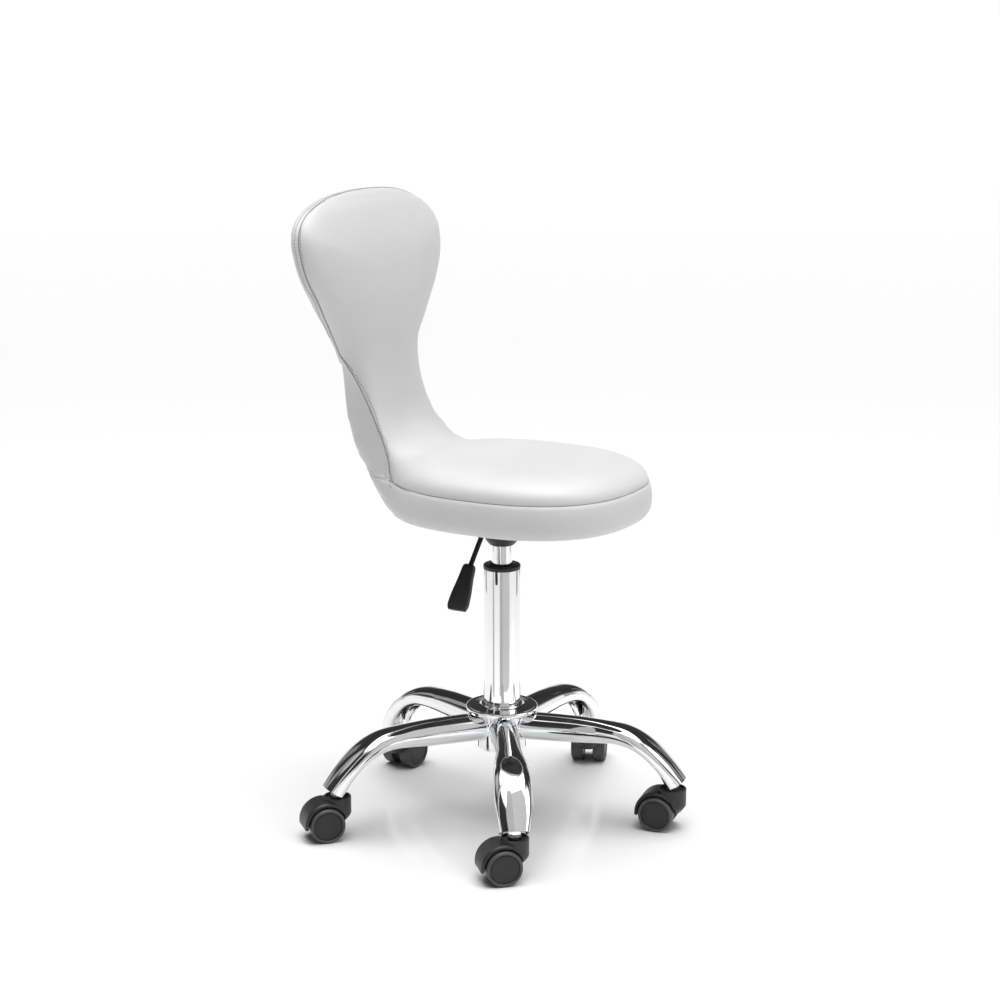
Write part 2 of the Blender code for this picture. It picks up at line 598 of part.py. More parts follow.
band_rows = [(0.0000, SEAM_Z), (0.0030, 0.4672), (0.0047, 0.4600), (0.0050, 0.4490), (0.0038, 0.4370),
             (0.0000, 0.4290), (-0.0070, 0.4245), (-0.0125, 0.4240), (-0.0125, SEAM_Z)]
rings = [seat_ring(o, z) for o, z in band_rows]
n = SEAT_SIDES
verts = [p for r in rings for p in r]
faces = []
for i in range(len(rings)):
    i2 = (i + 1) % len(rings)
    for j in range(n):
        k = (j + 1) % n
        faces.append((i * n + j, i * n + k, i2 * n + k, i2 * n + j))
band = mesh_object("seat_boxing", verts, faces)
finish(band, "leather", (0, 0, 0))
boolean(band, rear_box)
boolean(band, board_cut)
bake(band)

bpy.context.view_layer.update()
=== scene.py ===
import bpy, bmesh, math
import numpy as np
from mathutils import Vector, Matrix
from mathutils.bvhtree import BVHTree


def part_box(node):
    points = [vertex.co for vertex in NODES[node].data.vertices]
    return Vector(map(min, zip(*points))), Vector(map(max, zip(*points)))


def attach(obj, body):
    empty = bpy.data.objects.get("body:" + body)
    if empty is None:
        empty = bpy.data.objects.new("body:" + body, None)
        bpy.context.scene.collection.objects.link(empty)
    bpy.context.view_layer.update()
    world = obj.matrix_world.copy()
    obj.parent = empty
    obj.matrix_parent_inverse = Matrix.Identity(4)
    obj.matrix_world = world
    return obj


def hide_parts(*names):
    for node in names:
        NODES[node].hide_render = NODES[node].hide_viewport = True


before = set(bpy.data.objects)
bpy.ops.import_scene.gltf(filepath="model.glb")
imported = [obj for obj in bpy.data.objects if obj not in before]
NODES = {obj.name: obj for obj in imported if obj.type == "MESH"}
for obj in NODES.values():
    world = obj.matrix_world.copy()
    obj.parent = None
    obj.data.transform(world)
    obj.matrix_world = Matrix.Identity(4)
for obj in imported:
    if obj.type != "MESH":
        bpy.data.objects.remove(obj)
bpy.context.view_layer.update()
scene = bpy.context.scene

# ------------------------------------------------------------------ where things are (from the CAD nodes)
lo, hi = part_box("column_tube")
OX, OY = (lo.x + hi.x) / 2, (lo.y + hi.y) / 2
LEG_ANGLES = [213.85 + 72.0 * k for k in range(5)]
LEG_R = 0.2355
CASTER_YAW = (134.0, 100.6, 22.0, 354.0, 138.2)
WHEEL_R, WHEEL_W, WHEEL_IN, TRAIL = 0.0235, 0.0178, 0.0069, 0.0180


# ------------------------------------------------------------------ materials
def new_mat(name):
    m = bpy.data.materials.new(name)
    m.use_nodes = True
    nt = m.node_tree
    b = nt.nodes["Principled BSDF"]
    return m, nt, b


def noise(nt, scale, detail=4.0, rough=0.5, coord=None, dist=0.0):
    n = nt.nodes.new("ShaderNodeTexNoise")
    n.inputs["Scale"].default_value = scale
    n.inputs["Detail"].default_value = detail
    n.inputs["Roughness"].default_value = rough
    n.inputs["Distortion"].default_value = dist
    nt.links.new(coord, n.inputs["Vector"])
    return n


def coords(nt, stretch=(1, 1, 1)):
    tc = nt.nodes.new("ShaderNodeTexCoord")
    mp = nt.nodes.new("ShaderNodeMapping")
    mp.inputs["Scale"].default_value = stretch
    nt.links.new(tc.outputs["Object"], mp.inputs["Vector"])
    return mp.outputs["Vector"]


def ramp(nt, fac, stops):
    r = nt.nodes.new("ShaderNodeValToRGB")
    nt.links.new(fac, r.inputs["Fac"])
    els = r.color_ramp.elements
    while len(els) < len(stops):
        els.new(0.5)
    for e, (p, c) in zip(els, stops):
        e.position = p
        e.color = (c[0], c[1], c[2], 1.0) if hasattr(c, "__len__") else (c, c, c, 1.0)
    return r


def bump(nt, b, height, dist, strength=1.0, chain=None):
    n = nt.nodes.new("ShaderNodeBump")
    n.inputs["Distance"].default_value = dist
    n.inputs["Strength"].default_value = strength
    nt.links.new(height, n.inputs["Height"])
    if chain is not None:
        nt.links.new(chain, n.inputs["Normal"])
    nt.links.new(n.outputs["Normal"], b.inputs["Normal"])
    return n.outputs["Normal"]


def chrome_mat(name, tint=(0.86, 0.865, 0.875), rough=0.035):
    m, nt, b = new_mat(name)
    v = coords(nt)
    b.inputs["Metallic"].default_value = 1.0
    big = noise(nt, 9.0, 3.0, 0.5, v)
    tone = ramp(nt, big.outputs["Fac"], ((0.3, tuple(c * 0.975 for c in tint)), (0.75, tint)))
    nt.links.new(tone.outputs["Color"], b.inputs["Base Color"])
    fine = noise(nt, 900.0, 3.0, 0.6, v)
    hair = noise(nt, 60.0, 6.0, 0.7, v, 1.2)
    mix = nt.nodes.new("ShaderNodeMath"); mix.operation = "MULTIPLY_ADD"
    nt.links.new(hair.outputs["Fac"], mix.inputs[0]); mix.inputs[1].default_value = 0.035; mix.inputs[2].default_value = rough - 0.012
    nt.links.new(mix.outputs["Value"], b.inputs["Roughness"])
    n1 = bump(nt, b, fine.outputs["Fac"], 0.0000012, 0.5)
    bump(nt, b, big.outputs["Fac"], 0.00012, 0.35, n1)
    return m


def steel_mat(name, tint=(0.56, 0.56, 0.58), rough=0.28):
    m, nt, b = new_mat(name)
    v = coords(nt, (1, 1, 12))
    b.inputs["Metallic"].default_value = 1.0
    streak = noise(nt, 240.0, 5.0, 0.6, v)
    tone = ramp(nt, streak.outputs["Fac"], ((0.25, tuple(c * 0.8 for c in tint)), (0.8, tint)))
    nt.links.new(tone.outputs["Color"], b.inputs["Base Color"])
    r = ramp(nt, streak.outputs["Fac"], ((0.2, rough - 0.08), (0.9, rough + 0.1)))
    nt.links.new(r.outputs["Color"], b.inputs["Roughness"])
    bump(nt, b, streak.outputs["Fac"], 0.00004, 0.4)
    return m


def plastic_mat(name, tint=(0.018, 0.017, 0.017), rough=0.42, grain=1500.0, depth=0.00006):
    m, nt, b = new_mat(name)
    v = coords(nt)
    vor = nt.nodes.new("ShaderNodeTexVoronoi")
    vor.inputs["Scale"].default_value = grain
    nt.links.new(v, vor.inputs["Vector"])
    soft = noise(nt, 14.0, 4.0, 0.55, v)
    tone = ramp(nt, soft.outputs["Fac"], ((0.3, tuple(c * 0.85 for c in tint)), (0.75, tuple(c * 1.12 for c in tint))))
    nt.links.new(tone.outputs["Color"], b.inputs["Base Color"])
    r = ramp(nt, soft.outputs["Fac"], ((0.25, rough - 0.05), (0.8, rough + 0.07)))
    nt.links.new(r.outputs["Color"], b.inputs["Roughness"])
    b.inputs["Specular IOR Level"].default_value = 0.45
    bump(nt, b, vor.outputs["Distance"], depth, 0.5)
    return m


def leather_mat(name, tint=(0.56, 0.56, 0.565)):
    """Smooth white coated fabric: fine pebble grain, a little surface ripple, satin gloss."""
    m, nt, b = new_mat(name)
    v = coords(nt)
    warp = noise(nt, 260.0, 2.0, 0.5, v)
    add = nt.nodes.new("ShaderNodeMixRGB"); add.blend_type = "ADD"; add.inputs["Fac"].default_value = 0.0012
    nt.links.new(v, add.inputs["Color1"]); nt.links.new(warp.outputs["Color"], add.inputs["Color2"])
    cell = nt.nodes.new("ShaderNodeTexVoronoi")
    cell.feature = "DISTANCE_TO_EDGE"
    cell.inputs["Scale"].default_value = 1150.0
    nt.links.new(add.outputs["Color"], cell.inputs["Vector"])
    crease = ramp(nt, cell.outputs["Distance"], ((0.0, 0.0), (0.16, 1.0)))
    fine = noise(nt, 2600.0, 2.0, 0.5, v)
    soft = noise(nt, 22.0, 4.0, 0.55, v, 0.4)
    tone = ramp(nt, soft.outputs["Fac"], ((0.3, tuple(c * 0.975 for c in tint)), (0.72, tint)))
    nt.links.new(tone.outputs["Color"], b.inputs["Base Color"])
    r = ramp(nt, soft.outputs["Fac"], ((0.25, 0.40), (0.8, 0.48)))
    nt.links.new(r.outputs["Color"], b.inputs["Roughness"])
    b.inputs["Specular IOR Level"].default_value = 0.42
    b.inputs["Sheen Weight"].default_value = 0.04
    b.inputs["Sheen Roughness"].default_value = 0.4
    n1 = bump(nt, b, crease.outputs["Color"], 0.00006, 0.35)
    n2 = bump(nt, b, fine.outputs["Fac"], 0.00002, 0.3, n1)
    bump(nt, b, soft.outputs["Fac"], 0.0008, 0.16, n2)
    return m


# The default grey tint is white thread darkened as painted shade: it stands in for the shadow along the stitch rows.
def thread_mat(name, tint=(0.30, 0.30, 0.30)):
    m, nt, b = new_mat(name)
    v = coords(nt)
    w = nt.nodes.new("ShaderNodeTexWave")
    w.inputs["Scale"].default_value = 900.0
    w.inputs["Distortion"].default_value = 2.0
    nt.links.new(v, w.inputs["Vector"])
    tone = ramp(nt, w.outputs["Fac"], ((0.2, tuple(c * 0.8 for c in tint)), (0.8, tint)))
    nt.links.new(tone.outputs["Color"], b.inputs["Base Color"])
    b.inputs["Roughness"].default_value = 0.6
    bump(nt, b, w.outputs["Fac"], 0.00008, 0.5)
    return m


def lining_mat(name):
    m, nt, b = new_mat(name)
    v = coords(nt)
    n = noise(nt, 1400.0, 6.0, 0.75, v, 2.0)
    tone = ramp(nt, n.outputs["Fac"], ((0.3, (0.012, 0.012, 0.012)), (0.75, (0.05, 0.05, 0.052))))
    nt.links.new(tone.outputs["Color"], b.inputs["Base Color"])
    b.inputs["Roughness"].default_value = 0.95
    bump(nt, b, n.outputs["Fac"], 0.0004, 0.7)
    return m


def wood_mat(name):
    m, nt, b = new_mat(name)
    v = coords(nt, (6, 60, 60))
    n = noise(nt, 9.0, 6.0, 0.6, v, 1.0)
    tone = ramp(nt, n.outputs["Fac"], ((0.3, (0.42, 0.28, 0.15)), (0.7, (0.66, 0.50, 0.32))))
    nt.links.new(tone.outputs["Color"], b.inputs["Base Color"])
    b.inputs["Roughness"].default_value = 0.7
    bump(nt, b, n.outputs["Fac"], 0.0003, 0.5)
    return m


CHROME = chrome_mat("chrome_plate")
STEEL = steel_mat("zinc_steel")
POWDER = plastic_mat("black_powder_coat", (0.02, 0.02, 0.02), 0.5, 900.0, 0.0001)
PLASTIC = plastic_mat("black_moulded_plastic")
NYLON = plastic_mat("black_caster_nylon", (0.020, 0.018, 0.017), 0.38, 1300.0, 0.00005)
CAPM = plastic_mat("black_wheel_centre", (0.011, 0.010, 0.0095), 0.34, 1500.0, 0.00004)
TREAD = plastic_mat("grey_wheel_tread", (0.062, 0.058, 0.057), 0.45, 900.0, 0.00008)
LEATHER = leather_mat("white_leatherette")
# white thread coloured 0.30 grey: painted shade of the stitch rows
SHADED_THREAD = thread_mat("white_thread_painted_shade")
# a dark grey copy of the white leatherette: painted shade for the seam groove
SEAM_SHADE = leather_mat("leatherette_seam_shadow", (0.24, 0.24, 0.245))
LINING = lining_mat("black_lining")
WOOD = wood_mat("raw_plywood")
BRASS = steel_mat("turned_brass", (0.72, 0.56, 0.27), 0.25)


# ------------------------------------------------------------------ small builders
def link(obj, mat=None, smooth=True, sharp=35):
    scene.collection.objects.link(obj)
    if mat is not None:
        obj.data.materials.clear()
        obj.data.materials.append(mat)
    if smooth:
        obj.data.shade_smooth()
        obj.data.set_sharp_from_angle(angle=math.radians(sharp))
    return obj


def obj_from(name, verts, faces):
    me = bpy.data.meshes.new(name)
    me.from_pydata([tuple(v) for v in verts], [], faces)
    me.update()
    return bpy.data.objects.new(name, me)


def clean(obj, dist=1e-6):
    bm = bmesh.new()
    bm.from_mesh(obj.data)
    bmesh.ops.remove_doubles(bm, verts=bm.verts, dist=dist)
    bmesh.ops.recalc_face_normals(bm, faces=bm.faces)
    bm.to_mesh(obj.data)
    bm.free()


def spun(name, profile, mat, at=(0, 0, 0), matrix=None, steps=96, sharp=35, closed=True):
    """Turn a profile (radius, height) about local Z.  closed: the profile is a loop clear of the axis."""
    verts, faces, rings = [], [], []
    for r, z in profile:
        if r < 1e-7:
            rings.append([len(verts)])
            verts.append((0, 0, z))
        else:
            ring = []
            for i in range(steps):
                a = 2 * math.pi * i / steps
                ring.append(len(verts))
                verts.append((r * math.cos(a), r * math.sin(a), z))
            rings.append(ring)
    n = len(rings)
    for k in range(n if closed else n - 1):
        a, b = rings[k], rings[(k + 1) % n]
        if len(a) == 1 and len(b) == 1:
            continue
        for i in range(steps):
            j = (i + 1) % steps
            if len(a) == 1:
                faces.append((a[0], b[i], b[j]))
            elif len(b) == 1:
                faces.append((a[i], b[0], a[j]))
            else:
                faces.append((a[i], b[i], b[j], a[j]))
    o = obj_from(name, verts, faces)
    o.data.transform(Matrix.Translation((at[0] + OX, at[1] + OY, at[2])) @ (matrix or Matrix.Identity(4)))
    clean(o, 1e-7)
    return link(o, mat, True, sharp)


def fillet(profile, radii, closed=True, seg=4):
    """Round the corners of a 2-D profile; radii is one number or a list."""
    n = len(profile)
    out = []
    for i, p in enumerate(profile):
        r = radii if not hasattr(radii, "__len__") else radii[i]
        if r <= 0 or (not closed and i in (0, n - 1)):
            out.append(p)
            continue
        a, b = Vector(profile[i - 1]), Vector(profile[(i + 1) % n])
        c = Vector(p)
        da, db = (a - c), (b - c)
        la, lb = da.length, db.length
        t = min(r, la * 0.45, lb * 0.45)
        p0, p1 = c + da.normalized() * t, c + db.normalized() * t
        for k in range(seg + 1):
            u = k / seg
            q = (1 - u) ** 2 * p0 + 2 * u * (1 - u) * c + u ** 2 * p1
            out.append((q.x, q.y))
    return out


def pchip(xs, ys, x):
    xs = np.asarray(xs, float); ys = np.asarray(ys, float); x = np.atleast_1d(np.asarray(x, float))
    h = np.diff(xs); d = np.diff(ys) / h
    m = np.zeros_like(ys)
    for i in range(1, len(xs) - 1):
        if d[i - 1] * d[i] > 0:
            w1 = 2 * h[i] + h[i - 1]; w2 = h[i] + 2 * h[i - 1]
            m[i] = (w1 + w2) / (w1 / d[i - 1] + w2 / d[i])
    m[0] = d[0]; m[-1] = d[-1]
    i = np.clip(np.searchsorted(xs, x) - 1, 0, len(xs) - 2)
    t = (x - xs[i]) / h[i]
    return ((2 * t**3 - 3 * t**2 + 1) * ys[i] + (t**3 - 2 * t**2 + t) * h[i] * m[i]
            + (-2 * t**3 + 3 * t**2) * ys[i + 1] + (t**3 - t**2) * h[i] * m[i + 1])


def spline(xs, ys, x):
    """Natural cubic spline."""
    xs = np.asarray(xs, float); ys = np.asarray(ys, float); x = np.atleast_1d(np.asarray(x, float))
    n = len(xs); h = np.diff(xs)
    A = np.zeros((n, n)); r = np.zeros(n)
    A[0, 0] = A[-1, -1] = 1
    for i in range(1, n - 1):
        A[i, i - 1] = h[i - 1]; A[i, i] = 2 * (h[i - 1] + h[i]); A[i, i + 1] = h[i]
        r[i] = 3 * ((ys[i + 1] - ys[i]) / h[i] - (ys[i] - ys[i - 1]) / h[i - 1])
    c = np.linalg.solve(A, r)
    b = np.diff(ys) / h - h * (2 * c[:-1] + c[1:]) / 3
    d = np.diff(c) / (3 * h)
    i = np.clip(np.searchsorted(xs, x) - 1, 0, n - 2)
    t = x - xs[i]
    return ys[i] + b[i] * t + c[i] * t**2 + d[i] * t**3


def tube(name, path, radius, mat, sides=24, caps=True, radii=None):
    """Round tube along a path of points, framed without twist."""
    P = [Vector(p) for p in path]
    n = len(P)
    T = [(P[min(i + 1, n - 1)] - P[max(i - 1, 0)]).normalized() for i in range(n)]
    ref = Vector((0, 1, 0)) if abs(T[0].y) < 0.9 else Vector((1, 0, 0))
    N = (ref - T[0] * ref.dot(T[0])).normalized()
    verts, faces = [], []
    for i in range(n):
        N = (N - T[i] * N.dot(T[i])).normalized()
        B = T[i].cross(N)
        r = radii[i] if radii else radius
        for k in range(sides):
            a = 2 * math.pi * k / sides
            verts.append(P[i] + (N * math.cos(a) + B * math.sin(a)) * r)
    for i in range(n - 1):
        for k in range(sides):
            j = (k + 1) % sides
            faces.append((i * sides + k, i * sides + j, (i + 1) * sides + j, (i + 1) * sides + k))
    if caps:
        faces.append(tuple(reversed(range(sides))))
        faces.append(tuple((n - 1) * sides + k for k in range(sides)))
    o = obj_from(name, verts, faces)
    clean(o, 1e-8)
    return link(o, mat)


def boolean_apply(obj, cutters, ops):
    for c, op in zip(cutters, ops):
        m = obj.modifiers.new("b", "BOOLEAN")
        m.operation = op
        m.solver = "EXACT"
        m.object = c
    bpy.context.view_layer.update()
    dg = bpy.context.evaluated_depsgraph_get()
    me = bpy.data.meshes.new_from_object(obj.evaluated_get(dg))
    obj.modifiers.clear()
    obj.data = me
    for c in cutters:
        bpy.data.objects.remove(c, do_unlink=True)


def bake_modifiers(obj):
    bpy.context.view_layer.update()
    dg = bpy.context.evaluated_depsgraph_get()
    me = bpy.data.meshes.new_from_object(obj.evaluated_get(dg))
    mats = list(obj.data.materials)
    obj.modifiers.clear()
    obj.data = me
    me.materials.clear()
    for m in mats:
        me.materials.append(m)


def power_ring(n, count, a, b, phase=0.0):
    out = []
    for i in range(count):
        t = 2 * math.pi * (i + phase) / count
        c, s = math.cos(t), math.sin(t)
        out.append((a * math.copysign(abs(c) ** (2 / n), c), b * math.copysign(abs(s) ** (2 / n), s)))
    return out


def W(u, v, z):
    """Seat coordinates (forward, to the sitter's right, up) to the world."""
    return Vector((OX - v, OY - u, z))


# ------------------------------------------------------------------ camera
PSI = math.radians(60.0)
CAM_D, CAM_H, CAM_TILT = 2.9026, 1.1127, 0.2281
cx, cy = -0.0026, -CAM_D
cam_data = bpy.data.cameras.new("camera")
cam_data.lens = 80.93
cam_data.sensor_width = 36.0
cam_data.sensor_fit = "HORIZONTAL"
cam_data.clip_end = 600.0
cam = bpy.data.objects.new("camera", cam_data)
scene.collection.objects.link(cam)
cam.location = (OX + cx * math.cos(PSI) + cy * math.sin(PSI), OY - cx * math.sin(PSI) + cy * math.cos(PSI), CAM_H)
cam.rotation_euler = (math.pi / 2 - CAM_TILT, 0.0, -PSI)
scene.camera = cam

# ------------------------------------------------------------------ column
spun("hub_body", fillet([(0.0330, 0.1482), (0.0330, 0.0970), (0.0253, 0.0970), (0.0253, 0.1482)], 0.0014), CHROME)
hub = bpy.data.objects["hub_body"]
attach(hub, "base"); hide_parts("base_hub")
fl = spun("hub_ring", fillet([(0.0253, 0.1592), (0.0276, 0.1592), (0.0290, 0.1572), (0.0306, 0.1562), (0.0440, 0.1550),
                              (0.0466, 0.1556), (0.0484, 0.1548), (0.0487, 0.1518), (0.0474, 0.1486), (0.0253, 0.1486)],
                             [0.0003, 0.0008, 0.001, 0.001, 0.001, 0.0008, 0.0014, 0.0010, 0.0008, 0.0002]), CHROME)
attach(fl, "base"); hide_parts("hub_flange")
tb = spun("column_outer", fillet([(0.0250, 0.3463), (0.0250, 0.0996), (0.0226, 0.0996), (0.0226, 0.3463)], 0.0006), CHROME)
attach(tb, "base"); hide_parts("column_tube")
bu = spun("column_collar", fillet([(0.0143, 0.3535), (0.0166, 0.3535), (0.0176, 0.3520), (0.0238, 0.3518), (0.0250, 0.3506),
                                   (0.0250, 0.3466), (0.0222, 0.3466), (0.0222, 0.2700), (0.0143, 0.2700)],
                                  [0.0004, 0.0006, 0.0006, 0.001, 0.001, 0.0005, 0.0002, 0.001, 0.001]), PLASTIC)
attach(bu, "base"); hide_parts("column_bushing")
gc = spun("lift_cylinder", fillet([(0.0, 0.4045), (0.0043, 0.4045), (0.0043, 0.4140), (0.0128, 0.4140), (0.0140, 0.4108),
                                   (0.0140, 0.1600), (0.0122, 0.1600), (0.0122, 0.3980), (0.0, 0.3980)],
                                  [0, 0, 0.0004, 0.0006, 0.001, 0.0005, 0.0004, 0, 0], closed=False), CHROME, closed=False)
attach(gc, "seat"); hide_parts("gas_cylinder")
dc = spun("lift_cup", fillet([(0.0232, 0.4042), (0.0245, 0.4030), (0.0245, 0.3945), (0.0222, 0.3858), (0.0172, 0.3797),
                              (0.0155, 0.3786), (0.0145, 0.3786), (0.0145, 0.3815), (0.0194, 0.3880), (0.0215, 0.3955),
                              (0.0215, 0.4042)], [0.0006, 0.0006, 0.004, 0.004, 0.0012, 0.0006, 0.0003, 0.001, 0.002, 0.002, 0.0006]),
          PLASTIC)
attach(dc, "seat"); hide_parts("dust_cup")

# ------------------------------------------------------------------ legs
LEG_PATH = np.array((
    (0.0240, 0.1283, 0.0380, 0.0380, 0, 2.0), (0.0520, 0.1283, 0.0378, 0.0380, 0, 2.0),
    (0.1000, 0.1285, 0.0358, 0.0370, 0, 2.1), (0.1300, 0.1283, 0.0322, 0.0368, 0, 2.2),
    (0.1500, 0.1278, 0.0288, 0.0400, 4, 2.3), (0.1722, 0.1248, 0.0266, 0.0445, 14, 2.4),
    (0.1944, 0.1151, 0.0244, 0.0490, 33, 2.4), (0.2143, 0.0993, 0.0240, 0.0495, 45, 2.4),
    (0.2293, 0.0821, 0.0254, 0.0465, 57, 2.4), (0.2410, 0.0641, 0.0284, 0.0415, 67, 2.3)))
LEG_WALL = 0.0020


def leg_stations(count):
    d = np.concatenate([[0], np.cumsum(np.hypot(np.diff(LEG_PATH[:, 0]), np.diff(LEG_PATH[:, 1])))])
    q = np.linspace(0, d[-1], count)
    cols = [spline(d, LEG_PATH[:, i], q) if i < 2 else pchip(d, LEG_PATH[:, i], q) for i in range(6)]
    S = np.stack(cols, 1)
    ds = np.gradient(S[:, 0], q); dz = np.gradient(S[:, 1], q)
    S[:, 4] = np.degrees(np.arctan2(-dz, ds))
    return S, q


def rings_mesh(name, rings):
    n = len(rings[0])
    verts = [p for r in rings for p in r]
    faces = []
    for i in range(len(rings) - 1):
        for j in range(n):
            k = (j + 1) % n
            faces.append((i * n + j, i * n + k, (i + 1) * n + k, (i + 1) * n + j))
    faces.append(tuple(range(n)))
    faces.append(tuple((len(rings) - 1) * n + j for j in range(n)))
    o = obj_from(name, verts, faces)
    clean(o, 1e-8)
    return o


def leg_section(S, inset, sides):
    out = []
    for s, z, t, w, dip, n in S:
        d = math.radians(dip)
        up = (math.sin(d), math.cos(d))
        out.append([(s + up[0] * b, a, z + up[1] * b) for a, b in power_ring(n, sides, w / 2 - inset, t / 2 - inset, 0.5)])
    return out


def push_ends(S, start, end):
    S = S.copy()
    d = math.radians(S[0][4]); S[0][0] -= start * math.cos(d); S[0][1] += start * math.sin(d)
    d = math.radians(S[-1][4]); S[-1][0] += end * math.cos(d); S[-1][1] -= end * math.sin(d)
    return S


S_all, q_all = leg_stations(64)
proto = rings_mesh("leg_proto", leg_section(S_all, 0.0, 56))
scene.collection.objects.link(proto)
first = int(np.argmax(S_all[:, 0] > 0.160))
inner_S = push_ends(S_all[first:], 0.012, 0.02)
cav = rings_mesh("cav", leg_section(inner_S, LEG_WALL, 40)); scene.collection.objects.link(cav)
slot_r = []
slot_S = push_ends(S_all[first:], 0.001, 0.02)
for i, (s, z, t, w, dip, n) in enumerate(slot_S):
    d = math.radians(dip)
    up = (math.sin(d), math.cos(d))
    f = i / (len(slot_S) - 1)
    h = 0.0142 * min(1.0, math.sqrt(max(0.0, 1 - (1 - min(1, f / 0.42)) ** 2)) + 0.03)
    ring = []
    for a, b in ((h, -t * 0.20), (-h, -t * 0.20), (-h, -t * 0.95), (h, -t * 0.95)):
        ring.append((s + up[0] * b, a, z + up[1] * b))
    slot_r.append(ring)
slot = rings_mesh("slot", slot_r); scene.collection.objects.link(slot)
bm = bmesh.new()
bmesh.ops.create_cone(bm, cap_ends=True, segments=128, radius1=0.0331, radius2=0.0331, depth=0.08,
                      matrix=Matrix.Translation((0, 0, 0.125)))
me = bpy.data.meshes.new("hubcut"); bm.to_mesh(me); bm.free()
hubcut = bpy.data.objects.new("hubcut", me); scene.collection.objects.link(hubcut)
boolean_apply(proto, [hubcut, cav, slot], ["DIFFERENCE"] * 3)
bm = bmesh.new(); bm.from_mesh(proto.data)
bmesh.ops.remove_doubles(bm, verts=bm.verts, dist=0.00002)
bmesh.ops.dissolve_degenerate(bm, dist=0.00001, edges=bm.edges)
bm.to_mesh(proto.data); bm.free()
leg_mesh = proto.data
leg_mesh.shade_smooth(); leg_mesh.set_sharp_from_angle(angle=math.radians(32))
leg_mesh.materials.clear(); leg_mesh.materials.append(CHROME)
bpy.data.objects.remove(proto, do_unlink=True)

fill_S = push_ends(S_all[first:], 0.006, 0.02)


def weld_ring():
    """A thin fillet of weld where the leg's round root meets the hub."""
    pts = []
    for i in range(73):
        a = 2 * math.pi * i / 72
        y, z = 0.0192 * math.cos(a), 0.1283 + 0.0192 * math.sin(a)
        pts.append((math.sqrt(0.0334 ** 2 - y * y) + 0.0004, y, z))
    return pts


for k, ang in enumerate(LEG_ANGLES):
    n = k + 1
    R = Matrix.Translation((OX, OY, 0)) @ Matrix.Rotation(math.radians(ang), 4, "Z")
    leg = bpy.data.objects.new("chrome_leg_%d" % n, leg_mesh.copy())
    leg.data.transform(R)
    scene.collection.objects.link(leg)
    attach(leg, "base"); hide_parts("leg_%d" % n)
    pts = [p for p in weld_ring() if p[2] < 0.1468]
    # start the bead where it leaves the flange's underside on one side and end on the other
    order = sorted(range(len(weld_ring())), key=lambda i: (i + 54) % 72)
    ring = [R @ Vector(p) for p in [weld_ring()[i % 72] for i in range(20, 90)] if p[2] < 0.1466]
    bead = tube("weld_%d" % n, ring, 0.0013, CHROME, 10)
    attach(bead, "base")
    # sleeve for the caster's stem, with its pressed collar and nut-like foot
    st = Vector((LEG_R, 0, 0))
    sl = spun("stem_sleeve_%d" % n, fillet([(0.0, 0.0960), (0.0084, 0.0960), (0.0088, 0.0770), (0.0084, 0.0700), (0.0088, 0.0690),
                                            (0.0088, 0.0620), (0.0078, 0.0611), (0.0058, 0.0611), (0.0058, 0.0752), (0.0, 0.0752)],
                                           [0, 0.001, 0.001, 0.0006, 0.0006, 0.0008, 0.0005, 0.0004, 0.0004, 0], closed=False),
              CHROME, closed=False, steps=48)
    sl.data.transform(Matrix.Translation((-OX, -OY, 0)))
    sl.data.transform(Matrix.Translation((LEG_R, 0, 0)))
    f = rings_mesh("fill", leg_section(fill_S, LEG_WALL + 0.0003, 32)); scene.collection.objects.link(f)
    boolean_apply(sl, [f], ["INTERSECT"])
    sl.data.transform(R)
    sl.data.materials.clear(); sl.data.materials.append(CHROME)
    sl.data.shade_smooth(); sl.data.set_sharp_from_angle(angle=math.radians(35))
    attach(sl, "base"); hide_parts("leg_socket_%d" % n)

# ------------------------------------------------------------------ casters: local x = trail, y = axle
HOOD_R, HOOD_HALF = 0.0300, 0.0205


